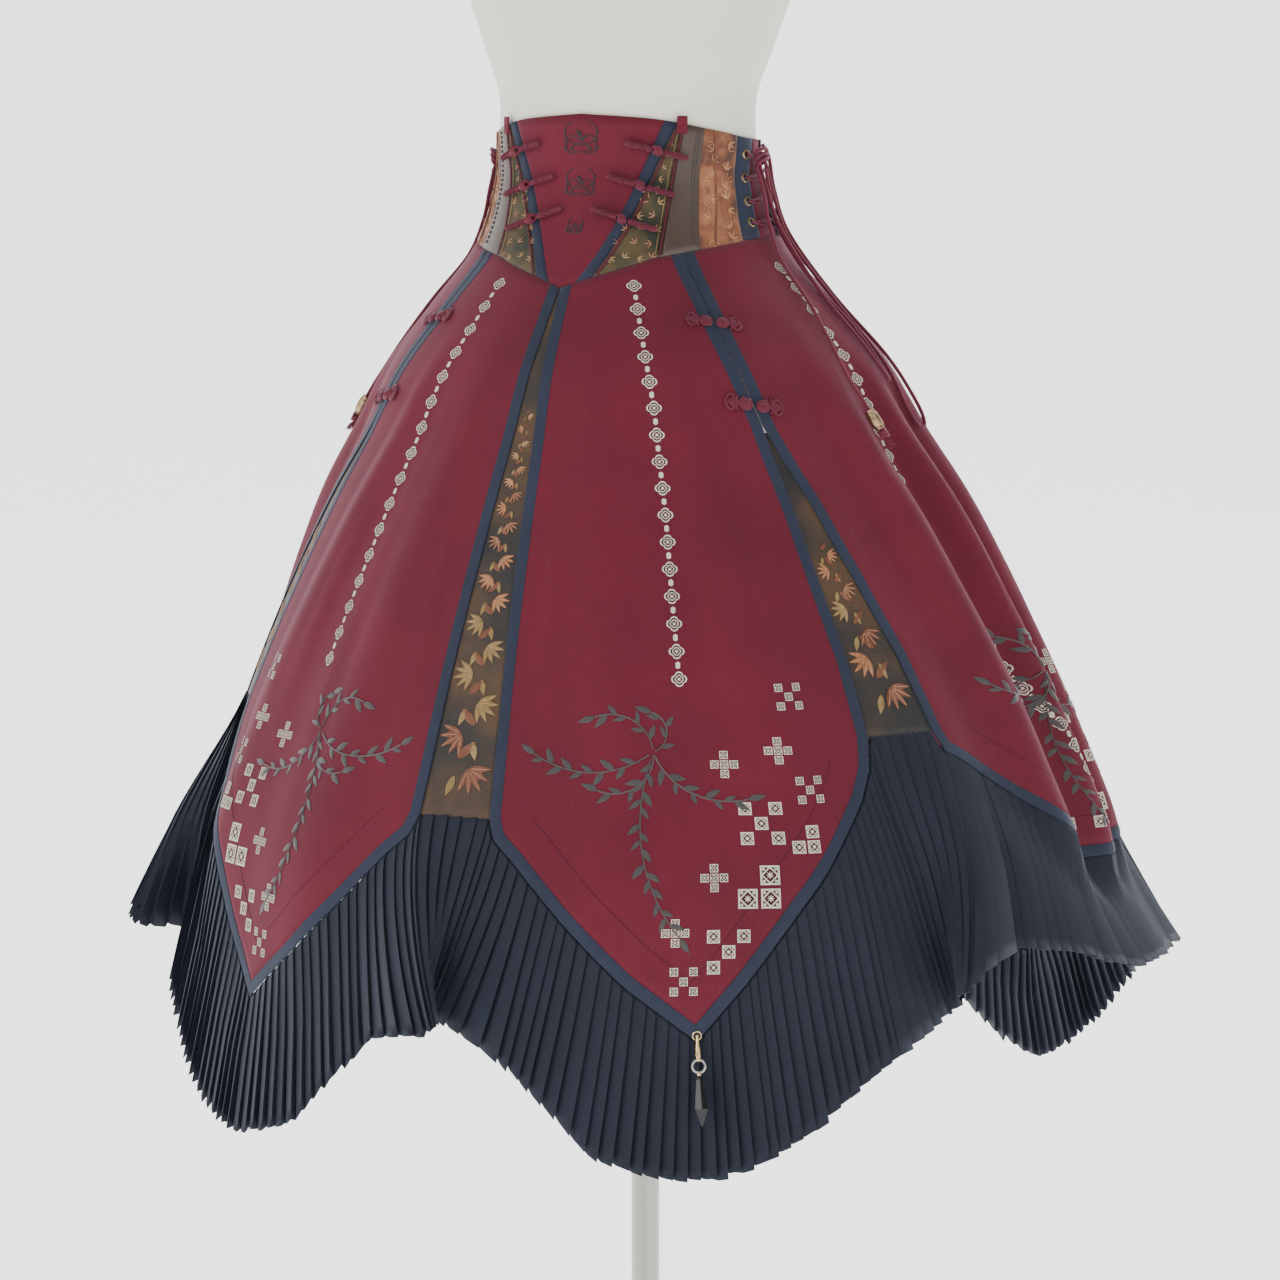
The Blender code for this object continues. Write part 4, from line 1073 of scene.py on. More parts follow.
PETAL_DOWN = 8
PETAL_ACROSS = 5


def make_petals():
    for kind in PETALS:
        fine = refine(petal_grid(kind, BINDING_WIDTH - UNDERLAP), PETAL_DOWN, PETAL_ACROSS)
        grid = on_cloth(fine)
        pieces = both_sides("petal_" + kind, grid, BURGUNDY, "burgundy_twill", wall=CLOTH)
        declare_sheet(grid)


BINDING_SECTION = ((0.0, -0.0010), (0.06, -0.0002), (0.5, 0.0001), (0.94, -0.0002), (1.0, -0.0012))


def divided(line, parts):
    """A line of (angle, z) with each stretch divided into equal parts."""
    line = np.asarray(line, float)
    place = np.linspace(0, len(line) - 1, (len(line) - 1) * parts + 1)
    first = np.minimum(place.astype(int), len(line) - 2)
    share = (place - first)[:, None]
    return line[first] * (1 - share) + line[first + 1] * share


def make_petal_bindings():
    for kind in PETALS:
        inner = divided(petal_line(kind, BINDING_WIDTH), 6)
        outer = divided(petal_outline(kind)[0], 6)
        rows = []
        for share, out in BINDING_SECTION:
            line = inner * (1 - share) + outer * share
            rows.append(on_cloth(line, BINDING_PROUD + out))
        grid = np.array(rows)
        pieces = both_sides("petal_binding_" + kind, grid, NAVY, "navy_binding", wall=BINDING_CLOTH)
        declare_sheet(grid)


def insert_grid(slit):
    row = SLITS[slit]
    shares = list(PETAL_ROWS[row.closed_rows :])
    shares[0] = shares[0] + (shares[1] - shares[0]) * 0.10
    rows = []
    for share in shares:
        z = slit_row_z(slit, share)
        middle = slit_angle(slit, z)
        reach = (slit_open(slit, z) + UNDERLAP) / float(metres_per_degree(middle, z))
        rows.append([(middle + reach * side, z) for side in (-1.0, -0.33, 0.33, 1.0)])
    return rows


INSERTS = (
    (0, "insert_front", False), (180, "insert_back", False), (60, "insert_side_front", True),
    (120, "insert_side_back", True),
)


def make_inserts():
    for slit, name, paired in INSERTS:
        grid = on_cloth(refine(insert_grid(slit), 8, 4), -INSERT_SUNK - 0.0003)
        if paired:
            pieces = both_sides(name, grid, INSERT_PRINT, "dark_printed_cloth", wall=CLOTH)
        else:
            piece = grid_piece(
                name + "_cloth", grid, INSERT_PRINT, "dark_printed_cloth", replaces=[name], wall=CLOTH
            )
            pieces = [piece]
        declare_sheet(grid)


make_petals()
make_petal_bindings()
make_inserts()


# Ruffle


def ruffle_seam():
    line = [(0.0, SLITS[0].insert_bottom)]
    for kind in PETALS:
        outline, first, count = petal_outline(kind)
        line += outline[first : first + count]
    line.append((180.0, SLITS[180].insert_bottom))
    return inset_line(line, -RUFFLE_DROP)


def seam_lengths(line):
    lengths = [0.0]
    for (angle0, z0), (angle1, z1) in zip(line, line[1:]):
        across = (angle1 - angle0) * float(metres_per_degree((angle0 + angle1) / 2, (z0 + z1) / 2))
        lengths.append(lengths[-1] + math.hypot(across, (z1 - z0) * float(slope_length((z0 + z1) / 2))))
    return np.array(lengths)


def fanned(angle):
    side = np.abs(angle)
    index = np.minimum(2, (side // 60).astype(int))
    low = 60.0 * index
    tip = np.array(PETAL_TIPS)[index]
    half = np.where(side < tip, tip - low, low + 60 - tip)
    place = (side - tip) / half
    spread = place * (1 + HEM_FAN) - HEM_FAN * place**3
    return np.copysign(tip + spread * half, angle)


def ruffle_points(angle, seam_z, down, pleat, depth_scale, hem_shift):
    """Points of the ruffle for arrays: down is 0 at its seam and 1 at its hem, pleat 1 outermost and -1 innermost."""
    hem_angle = fanned(angle)
    side = np.minimum(np.abs(hem_angle), 180.0)
    hem_z = read_curve(HEM_Z, side) + hem_shift
    flare = read_curve(HEM_FLARE, side)
    place = angle + (hem_angle - angle) * down
    z = seam_z + (hem_z - seam_z) * down
    depth = (PLEAT_DEPTH_TOP + (PLEAT_DEPTH_HEM - PLEAT_DEPTH_TOP) * down) * depth_scale
    out = flare * np.maximum(down, 0) ** 1.3 - 0.0006 + pleat * depth
    for swirl in SWIRLS:
        away = (angle - swirl.angle) / swirl.half_width
        turn = np.where(np.abs(away) < 1, np.sin(math.pi * np.clip(away, -1, 1)), 0.0)
        place = place - swirl.overlap * turn * np.maximum(down, 0) ** 1.5
        out = out + swirl.outer_side * swirl.height * turn * np.maximum(down, 0) ** 1.2
    folded = np.clip(1 - down / 0.45, 0, 1)
    return cloth(place, z, out, folded)


def pleat_columns(line, count, rng):
    """Places along a seam for sharp knife pleats: tucked start, folded edge past the next start, and back."""
    lengths = seam_lengths(line)
    line = np.asarray(line)
    widths = np.array([1 + rng.uniform(-0.16, 0.16) for _ in range(count)])
    starts = np.concatenate([[0], np.cumsum(widths)]) / widths.sum() * lengths[-1]
    places = []
    pleat = []
    scale = []
    shift = []
    for k in range(count):
        wide = starts[k + 1] - starts[k]
        depth = rng.uniform(0.75, 1.25)
        hem = rng.uniform(-0.0022, 0.0022)
        overlap = PLEAT_OVERLAP if k < count - 1 else 0.0
        for share, height in ((0.0, -1.0), (0.5, 0.12), (1.0 + overlap, 1.0)):
            places.append(starts[k] + wide * share)
            pleat.append(height)
            scale.append(depth)
            shift.append(hem + (0.0012 if height < 0 else 0.0))
    places.append(starts[-1])
    pleat.append(-1.0)
    scale.append(1.0)
    shift.append(0.0)
    places = np.array(places)
    angles = np.interp(places, lengths, line[:, 0])
    heights = np.interp(places, lengths, line[:, 1])
    return angles, heights, np.array(pleat), np.array(scale), np.array(shift)


def ruffle_grid(angles, heights, pleat, scale, shift, side):
    rows = []
    up = ruffle_points(angles * side, heights + 0.0045, np.zeros(1), pleat * 0.4, scale, shift)
    inward = cloth(angles * side, heights + 0.0045, -RUFFLE_UNDER) - cloth(
        angles * side, heights + 0.0045, 0.0
    )
    rows.append(up + inward)
    for down in np.linspace(0.0, 1.0, RUFFLE_STEPS):
        rows.append(ruffle_points(angles * side, heights, np.full(1, down), pleat, scale, shift))
    return np.array(rows)


def make_ruffle():
    rng = random.Random(7)
    line = ruffle_seam()
    corner = next(i for i, p in enumerate(line) if p[0] > RUFFLE_JOINT)
    before, after = line[corner - 1], line[corner]
    share = (RUFFLE_JOINT - before[0]) / (after[0] - before[0])
    joint = (RUFFLE_JOINT, before[1] + (after[1] - before[1]) * share)
    right = line[:corner] + [joint]
    left = [(-angle, z) for angle, z in reversed(right)]
    whole = left[:-1] + right
    front = ruffle_grid(*pleat_columns(whole, 2 * PLEATS_FRONT_HALF, rng), 1)
    more = {"wall": RUFFLE_CLOTH, "sharp": 25}
    piece = grid_piece(
        "ruffle_front_cloth", front, PLEAT_NAVY, "navy_pleats", replaces=["ruffle_front"], **more
    )
    declare_sheet(front)
    back = [joint] + line[corner:]
    for side, name in ((1, "ruffle_back_r"), (-1, "ruffle_back_l")):
        grid = ruffle_grid(*pleat_columns(back, PLEATS_BACK_HALF, rng), side)
        if side < 0:
            grid = grid[:, ::-1]
        piece = grid_piece(name + "_cloth", grid, PLEAT_NAVY, "navy_pleats", replaces=[name], **more)
        declare_sheet(grid)


make_ruffle()


# Corset


def corset_grid(left, right, rows, columns, out=0.0, bulge=0.0):
    down = np.linspace(0, 1, rows + 1)[:, None]
    share = np.linspace(0, 1, columns + 1)[None, :]
    low = left.low_angle + (right.low_angle - left.low_angle) * share
    high = left.top_angle + (right.top_angle - left.top_angle) * share
    angle = high + (low - high) * down
    z = top_z(high) + (waist_z(low) - top_z(high)) * down
    lift = out + bulge * np.sin(math.pi * share) * np.ones_like(angle)
    return cloth(angle, z, lift)


def seam_line(seam, count=40, out=0.0, shift=0.0, start=0.0, end=1.0):
    """Points down a corset seam from the top edge to the waist, moved sideways by a distance."""
    down = np.linspace(start, end, count)
    angle = seam.top_angle + (seam.low_angle - seam.top_angle) * down
    high = float(top_z(seam.top_angle))
    low = float(waist_z(seam.low_angle))
    z = high + (low - high) * down
    return cloth(angle + shift / metres_per_degree(angle, z), z, out)


def make_corset():
    mirror_v = CorsetSeam(-V_INNER.low_angle, -V_INNER.top_angle)
    grid = corset_grid(mirror_v, V_INNER, 16, 36)
    piece = grid_piece(
        "corset_plastron_cloth", grid, BURGUNDY, "burgundy_twill", replaces=["corset_plastron"], wall=CLOTH
    )
    declare_sheet(grid)
    behind = CorsetSeam(360 - EYELET_STRIP_SIDE.low_angle, 360 - EYELET_STRIP_SIDE.top_angle)
    grid = corset_grid(EYELET_STRIP_SIDE, behind, 12, 90)
    piece = grid_piece(
        "corset_back_cloth", grid, BURGUNDY, "burgundy_twill", replaces=["corset_back"], wall=CLOTH
    )
    declare_sheet(grid)
    panels = (
        ("corset_v_binding", V_INNER, V_OUTER, 3, BINDING_PROUD - 0.0005, 0.0008, NAVY, "navy_binding"),
        ("corset_print_front", V_OUTER, PRINT_FRONT_SIDE, 12, 0.0, 0.0, GREEN_PRINT, "dark_printed_cloth"),
        ("corset_satin", PRINT_FRONT_SIDE, SATIN_SIDE, 8, 0.0, 0.0004, SATIN, "olive_satin"),
        (
            "corset_print_side", SATIN_SIDE, PRINT_SIDE_SIDE, 12, 0.0, 0.0, COPPER_PRINT,
            "dark_printed_cloth",
        ),
        ("corset_eyelet_strip", PRINT_SIDE_SIDE, EYELET_STRIP_SIDE, 8, 0.0, 0.0005, NAVY, "navy_binding"),
        (
            "corset_rear_strip", REAR_STRIP_FRONT, REAR_STRIP_REAR, 8, REAR_STRIP_OUT, 0.0004, NAVY,
            "navy_binding",
        ),
    )
    for name, left, right, columns, out, bulge, material, slot in panels:
        grid = corset_grid(left, right, 16, columns, out, bulge)
        pieces = both_sides(name, grid, material, slot, wall=CLOTH)
        declare_sheet(grid)


make_corset()


# Dress form and stand


def ring_solid(rings, sides):
    """Points and faces of a closed solid through level elliptical rings."""
    t = np.linspace(0, 2 * math.pi, sides, endpoint=False)
    points = []
    for row in rings:
        ring = np.stack([row[1] * np.sin(t), row[3] - row[2] * np.cos(t), np.full(sides, row[0])], axis=-1)
        points.append(ring)
    faces = [tuple(reversed(range(sides)))]
    for r in range(len(rings) - 1):
        for k in range(sides):
            low = r * sides + k
            beside = r * sides + (k + 1) % sides
            faces.append((low, beside, beside + sides, low + sides))
    last = (len(rings) - 1) * sides
    faces.append(tuple(range(last, last + sides)))
    return np.concatenate(points), faces


def make_form():
    waist = []
    for z in FORM_WAIST_HEIGHTS:
        a, b, centre = section(z)
        waist.append(Section(z, float(a) - FORM_CLEARANCE, float(b) - FORM_CLEARANCE, float(centre)))
    table = sorted(FORM_SECTIONS + waist)
    heights = np.unique(np.concatenate([np.linspace(0.880, 1.532, 110), [row.z for row in table]]))
    rings = []
    for z in heights:
        sizes = [float(read_curve(column(table, name), z)) for name in ("half_width", "half_depth", "centre_y")]
        rings.append((z, *sizes))
    points, faces = ring_solid(rings, 96)
    add_piece("form_torso_cover", points, faces, LINEN, "cream_linen", replaces=["form_torso"], sharp=50)


def make_stand():
    profile = [
        (FORM_BOTTOM - 0.0003, 0.030),
        (FORM_BOTTOM - 0.0123, 0.030),
        (FORM_BOTTOM - 0.0303, POLE_RADIUS),
        (0.060, POLE_RADIUS),
        (0.044, 0.0165),
        (0.032, 0.0225),
        (0.026, 0.030),
        (0.016, BASE_RADIUS - 0.020),
        (0.0125, BASE_RADIUS - 0.006),
        (0.008, BASE_RADIUS),
        (0.0, BASE_RADIUS),
    ]
    rings = [(z, radius, radius, 0.0) for z, radius in reversed(profile)]
    points, faces = ring_solid(rings, 72)
    add_piece("form_stand_metal", points, faces, STEEL, "satin_steel", replaces=["form_stand"], sharp=30)


make_form()
make_stand()


# Trimmings: laces, stitching, wound and flower frogs, side lacing


def unit_at(angle, z, turn, points, out=0.0):
    """Small flat shape given in metres, laid on the cloth round a place and turned."""
    points = np.asarray(points, float)
    c, s = math.cos(turn), math.sin(turn)
    u = points[:, 0] * c - points[:, 1] * s
    v = points[:, 0] * s + points[:, 1] * c
    lift = out + (points[:, 2] if points.shape[1] > 2 else 0.0)
    return cloth(angle + u / metres_per_degree(angle, z), z + v / slope_length(z), lift)


def looped_line(line, reach, count):
    """A narrow lace: a line with small loops to both sides."""
    line = np.asarray(line, float)
    share = np.linspace(0, 1, count * 8 + 1)
    along = np.linspace(0, 1, len(line))
    middle = np.stack([np.interp(share, along, line[:, k]) for k in range(3)], axis=-1)
    tangent = np.gradient(middle, axis=0)
    tangent /= np.linalg.norm(tangent, axis=1)[:, None]
    outward = middle * np.array([1.0, 1.0, 0.0])
    outward /= np.linalg.norm(outward, axis=1)[:, None]
    beside = np.cross(tangent, outward)
    phase = share * count * 2 * math.pi
    swing = beside * (np.sin(phase) * reach)[:, None]
    curl = tangent * (np.sin(2 * phase) * reach * LACE_CURL)[:, None]
    return middle + swing + curl


LACE_LOOPS = 30
LACE_CURL = 0.45
LACE_REACH = 0.0016


def make_laces():
    batch = Batch()
    gold = Batch()
    for seam, shift in ((V_OUTER, 0.0022), (PRINT_FRONT_SIDE, 0.0)):
        line = seam_line(seam, 60, 0.0011, shift, 0.02, 0.985)
        batch.both_tubes(looped_line(line, LACE_REACH, LACE_LOOPS), 0.00055, 5)
        batch.both_tubes(line, 0.0007, 5)
    gold.both_tubes(seam_line(PRINT_FRONT_SIDE, 50, 0.0005, -0.0034, 0.02, 0.98), 0.0004, 5)
    batch.piece("corset_laces", LACE, "burgundy_cord")
    gold.piece("corset_gold_line", OCHRE, "olive_satin")
    piping = Batch()
    down = np.linspace(0.01, 0.99, 50)
    left, right = SATIN_SIDE, PRINT_SIDE_SIDE
    share = 0.26 + 0.16 * np.sin(down * math.pi * 0.9)
    high = left.top_angle + (right.top_angle - left.top_angle) * share
    low = left.low_angle + (right.low_angle - left.low_angle) * share
    angle = high + (low - high) * down
    z = top_z(high) + (waist_z(low) - top_z(high)) * down
    piping.both_tubes(cloth(angle, z, 0.0006), 0.0009, 6)
    piping.piece("corset_piping", RUSSET, "dark_printed_cloth")
    stitches = Batch()
    for shift in (-0.0040, -0.0066):
        line = seam_line(SATIN_SIDE, 73, 0.0004, shift, 0.02, 0.98)
        for k in range(0, 72, 3):
            stitches.both_tubes(line[k : k + 3], 0.00042, 5)
    stitches.piece("corset_stitches", BLACK_THREAD, "olive_satin")


COIL_BAR_RADIUS = 0.0027
COIL_KNOT_RADIUS = 0.0047
COIL_GAP = 0.0008
COIL_TURNS = 13


def wound(line, radius, turns, thread, batch):
    """A cord wound round a line, shown as its turns lying side by side over a core."""
    line = np.asarray(line, float)
    share = np.linspace(0, 1, turns * 12 + 1)
    along = np.linspace(0, 1, len(line))
    middle = np.stack([np.interp(share, along, line[:, k]) for k in range(3)], axis=-1)
    direction = line[-1] - line[0]
    direction = direction / np.linalg.norm(direction)
    first, second = across_of(direction)
    turn = share * turns * 2 * math.pi
    ring = first * np.cos(turn)[:, None] + second * np.sin(turn)[:, None]
    taper = np.clip(np.minimum(share, 1 - share) * 10, 0.45, 1.0)[:, None]
    batch.both_tubes(middle + ring * (radius - thread) * taper, thread, 5)
    batch.both_tubes(line, radius - thread, 7)


def make_coil_cords():
    for number, frog in enumerate(COIL_FROGS, 1):
        batch = Batch()
        half_angle = frog.length / 2 / metres_per_degree(frog.angle, frog.z)
        rise = math.tan(math.radians(frog.slope)) * frog.length / 2
        off = BINDING_PROUD + COIL_GAP + COIL_BAR_RADIUS
        for start, end in ((-1.0, -0.17), (0.17, 1.0)):
            along = np.linspace(start, end, 9)
            line = cloth(frog.angle + half_angle * along, frog.z + rise * along, off)
            wound(line, COIL_BAR_RADIUS, COIL_TURNS, 0.00075, batch)
        centre = cloth(frog.angle, frog.z, BINDING_PROUD + COIL_GAP + COIL_KNOT_RADIUS)
        direction = line[-1] - line[0]
        direction = direction / np.linalg.norm(direction)
        first, second = across_of(direction)
        turn = np.linspace(0, 2 * math.pi, 20, endpoint=False)
        ring = first * np.cos(turn)[:, None] + second * np.sin(turn)[:, None]
        for lean in (-1.1, -0.45, 0.2, 0.85):
            tilt = direction * ((np.sin(turn + 1.0) * 0.5 + lean) * 0.0024)[:, None]
            batch.both_tubes(centre + ring * (0.0034 - 0.0009 * abs(lean)) + tilt, 0.0012, 6, True)
        replaces = ["coil_frog_%d_r" % number, "coil_frog_%d_l" % number]
        batch.piece("coil_frog_%d_cords" % number, CORD, "burgundy_cord", replaces=replaces)


def spiral(radius, turns, steps):
    share = np.linspace(0, 1, steps)
    turn = share * turns * 2 * math.pi
    reach = radius * (0.16 + 0.84 * share)
    height = 0.0038 - 0.0022 * share
    return np.stack([reach * np.cos(turn), reach * np.sin(turn), height], axis=-1)


def leaf_loop(length, width, steps):
    """A pointed loop from a root out to a tip and back."""
    share = np.linspace(0, 1, steps)
    x = length * (1 - np.abs(2 * share - 1)) ** 0.85
    y = width / 2 * np.sin(2 * math.pi * share) * (0.7 + 0.3 * np.sin(math.pi * share))
    return np.stack([x, y, np.full(steps, 0.0016)], axis=-1)


def make_flower_cords():
    for number, frog in enumerate(FLOWER_FROGS, 1):
        batch = Batch()
        angle = float(slit_angle(60, frog.z))
        rosette = frog.width * 0.13
        for side in (-1, 1):
            middle = np.array([side * rosette * 1.05, 0.0, 0.0])
            curl = spiral(rosette - 0.0012, 3.2, 64) * np.array([side, 1.0, 1.0]) + middle
            batch.both_tubes(unit_at(angle, frog.z, -0.16, curl, BINDING_PROUD), 0.00125, 6)
            root = side * rosette * 1.9
            for length, width in (
                (frog.width / 2 - rosette * 1.9 - 0.001, frog.height * 0.62),
                (frog.width * 0.17, frog.height * 0.34),
            ):
                loop = leaf_loop(length, width, 34) * np.array([side, 1.0, 1.0]) + np.array([root, 0.0, 0.0])
                batch.both_tubes(unit_at(angle, frog.z, -0.16, loop, BINDING_PROUD), 0.0011, 6)
            for k in range(5):
                u = root + side * (0.0015 + k * frog.width * 0.034)
                reach = frog.height * 0.27 * (1 - k / 6)
                bar = [(u, -reach, 0.0014), (u + side * 0.0012, 0.0, 0.0026), (u, reach, 0.0014)]
                batch.both_tubes(unit_at(angle, frog.z, -0.16, bar, BINDING_PROUD), 0.0009, 5)
        replaces = ["flower_frog_%d_r" % number, "flower_frog_%d_l" % number]
        batch.piece("flower_frog_%d_cords" % number, CORD, "burgundy_cord", replaces=replaces)


LacingStep = namedtuple("LacingStep", "across drop off")
LACING_STEPS = [
    LacingStep(0.0, 0.0, 0.0024),
    LacingStep(0.56, 0.005, 0.0050),
    LacingStep(1.0, 0.0075, 0.0060),
    LacingStep(1.0, 0.0115, 0.0060),
    LacingStep(0.56, 0.0145, 0.0050),
]
EYELET_RADIUS = 0.0034


def make_side_lacing():
    points = []
    for hole in LACING_HOLES:
        steps = LACING_STEPS[:2] if hole is LACING_HOLES[-1] else LACING_STEPS
        for step in steps:
            angle = hole.front + (hole.rear - hole.front) * step.across
            points.append(cloth(angle, hole.z - step.drop, step.off))
    line = np.array(points)
    for side in ("_r", "_l"):
        path = line if side == "_r" else mirrored(line)
        shape, faces = tube_arrays(path, CORD_RADIUS, 10)
        piece = add_piece(
            "side_lacing" + side + "_cord",
            shape,
            faces,
            CORD,
            "burgundy_cord",
            replaces=["side_lacing" + side],
            sharp=60,
        )
    batch = Batch()
    turn = np.linspace(0, 2 * math.pi, 20, endpoint=False)
    ring = np.stack([EYELET_RADIUS * np.cos(turn), EYELET_RADIUS * np.sin(turn)], axis=-1)
    for hole in LACING_HOLES:
        for angle, out in ((hole.front, 0.0007), (hole.rear, REAR_STRIP_OUT + 0.0007)):
            batch.both_tubes(unit_at(angle, hole.z, 0.0, ring, out), 0.0009, 6, True)
    batch.piece("corset_eyelets", BRASS, "antique_brass")


def make_bow_knots():
    """The lacing's knot at the top of each side, where the loops and the free end start."""
    batch = Batch()
    turn = np.linspace(0, 2 * math.pi, 22, endpoint=False)
    for lean, radius, rise in ((-0.5, 0.0052, 0.004), (0.15, 0.0058, 0.0), (0.8, 0.0050, -0.004)):
        u = radius * np.cos(turn)
        v = rise + 0.0030 * np.sin(turn) + lean * 0.0016 * np.cos(turn)
        lift = 0.0095 + 0.0034 * np.sin(turn + 0.6)
        batch.both_tubes(unit_at(89.3, 1.108, 0.2, np.stack([u, v, lift], axis=-1)), CORD_RADIUS, 8, True)
    batch.piece("bow_knots", CORD, "burgundy_cord")


BELT_LOOP_ANGLE = V_OUTER.top_angle + 2.2


def make_belt_loops():
    edge = float(top_z(BELT_LOOP_ANGLE))
    rows = []
    for z in np.linspace(edge + 0.006, edge - 0.008, 8):
        angles = BELT_LOOP_ANGLE + 2.4 * np.linspace(-1, 1, 5)
        rows.append(cloth(angles, np.full(5, z), 0.0021))
    both_sides("belt_loop", np.array(rows), BURGUNDY, "burgundy_twill", wall=CLOTH)


make_laces()
make_coil_cords()
make_flower_cords()
make_side_lacing()
make_bow_knots()
make_belt_loops()


# Pendant

PENDANT_ANGLE = 30.0
PENDANT_TOP = 0.436
PENDANT_SLOPE = math.radians(-15.0)
PENDANT_TURN = math.radians(-4.0)
PENDANT_GAP = 0.0022
RING_RADIUS = 0.0050
RING_PLACE = -0.0225


def cloth_frame(angle, z, out):
    """Place on the cloth with X along it to the viewer's right, Y up it and Z outward."""
    centre = cloth(angle, z, out)
    right = cloth(angle + 0.05, z, out) - cloth(angle - 0.05, z, out)
    up = cloth(angle, z + 0.0005, out) - cloth(angle, z - 0.0005, out)
    right = right / np.linalg.norm(right)
    outward = np.cross(right, up)
    outward = outward / np.linalg.norm(outward)
    up = np.cross(outward, right)
    place = Matrix((right, up, outward)).transposed().to_4x4()
    place.translation = Vector(centre)
    return place


def along_y(profile, sides):
    """A turned solid along the Y axis."""
    points = []
    for radius, place in profile:
        turn = 2 * math.pi * (np.arange(sides) + 0.5) / sides
        ring = [radius * np.cos(turn), np.full(sides, place), radius * np.sin(turn)]
        points.append(np.stack(ring, axis=-1))
    faces = [tuple(range(sides))]
    for r in range(len(profile) - 1):
        for k in range(sides):
            low = r * sides + k
            beside = r * sides + (k + 1) % sides
            faces.append((low, low + sides, beside + sides, beside))
    last = (len(profile) - 1) * sides
    faces.append(tuple(reversed(range(last, last + sides))))
    return np.concatenate(points), faces


CLASP_PROFILE = [
    (0.0006, 0.002), (0.0014, 0.001), (0.0016, -0.004), (0.0020, -0.007), (0.0024, -0.009),
    (0.0024, -0.014),
    (0.0020, -0.0155), (0.0014, -0.019), (0.0006, -0.0195),
]
DROP_PROFILE = [(0.0016, -0.0295), (0.0030, -0.033), (0.0045, -0.044), (0.0058, -0.056), (0.0006, -0.069)]
CAP_PROFILE = [(0.0008, -0.0275), (0.0020, -0.0283), (0.0022, -0.0300), (0.0017, -0.0304)]


def make_pendant():
    hang = cloth_frame(PENDANT_ANGLE, PENDANT_TOP, BINDING_PROUD + PENDANT_GAP)
    hang = hang @ Matrix.Rotation(PENDANT_SLOPE, 4, "X") @ Matrix.Rotation(PENDANT_TURN, 4, "Y")

    def placed(points):
        return np.array([hang @ Vector(p) for p in np.asarray(points).reshape(-1, 3)])

    points, faces = along_y(CLASP_PROFILE, 14)
    add_piece(
        "pendant_clasp", placed(points), faces, GOLD, "antique_brass", replaces=["pendant"], body=PENDANT,
        sharp=35,
    )
    turn = np.linspace(0, 2 * math.pi, 28, endpoint=False)
    ring = np.stack(
        [RING_RADIUS * np.cos(turn), RING_PLACE + RING_RADIUS * np.sin(turn), 0 * turn], axis=-1
    )
    points, faces = tube_arrays(placed(ring), 0.0009, 8, True)
    add_piece("pendant_ring", points, faces, STEEL, "antique_brass", body=PENDANT)
    points, faces = along_y(CAP_PROFILE, 14)
    add_piece("pendant_cap", placed(points), faces, GOLD, "antique_brass", body=PENDANT)
    points, faces = along_y(DROP_PROFILE, 6)
    add_piece("pendant_drop", placed(points), faces, GLASS, "antique_brass", body=PENDANT, smooth=False)
    turn = np.linspace(0, 2 * math.pi, 24, endpoint=False)
    eyelet = np.stack([0.0033 * np.cos(turn), 0.0033 * np.sin(turn)], axis=-1)
    points, faces = tube_arrays(
        unit_at(PENDANT_ANGLE, PENDANT_TOP + 0.0005, 0.0, eyelet, BINDING_PROUD + 0.0001), 0.0006, 8, True
    )
    add_piece("pendant_eyelet", points, faces, GOLD, "antique_brass")


make_pendant()


# Prints and embroidery, all ordinary motifs in a layout of their own

PRINT_OUT = 0.0004


class Decal(Batch):
    """Small flat printed shapes on the cloth."""

    def band(self, spot, outer, inner, out=PRINT_OUT):
        """A closed band between two outlines of the same count."""
        angle, z, turn = spot
        outline = np.concatenate([outer, inner])
        points = unit_at(angle, z, turn, outline, out)
        n = len(outer)
        self.add(points, [(k, (k + 1) % n, n + (k + 1) % n, n + k) for k in range(n)])

    def blot(self, spot, outline, out=PRINT_OUT):
        angle, z, turn = spot
        outline = np.asarray(outline, float)
        points = unit_at(angle, z, turn, np.concatenate([outline, outline.mean(0)[None]]), out)
        n = len(outline)
        self.add(points, [(k, (k + 1) % n, n) for k in range(n)])

    def mirrored_piece(self, name, material, slot):
        points = np.concatenate(self.points)
        self.add(mirrored(points), [tuple(reversed(face)) for face in self.faces])
        return self.piece(name, material, slot)


def round_outline(count, shape):
    turn = np.linspace(0, 2 * math.pi, count, endpoint=False)
    reach = shape(turn)
    return np.stack([reach * np.cos(turn), reach * np.sin(turn)], axis=-1)


def quatrefoil(radius):
    return round_outline(40, lambda t: radius * (0.72 + 0.28 * np.abs(np.cos(2 * t)) ** 0.7))


def square(radius, turn=0.0):
    turns = [turn + math.pi / 4 + k * math.pi / 2 for k in range(4)]
    corners = np.array([(math.cos(t), math.sin(t)) for t in turns])
    points = []
    for k in range(4):
        for share in (0.0, 0.25, 0.5, 0.75):
            points.append(corners[k] * (1 - share) + corners[(k + 1) % 4] * share)
    return np.array(points) * radius


def star(radius, depth=0.42, arms=8):
    return round_outline(arms * 2, lambda t: np.where(np.arange(len(t)) % 2 == 0, radius, radius * depth))


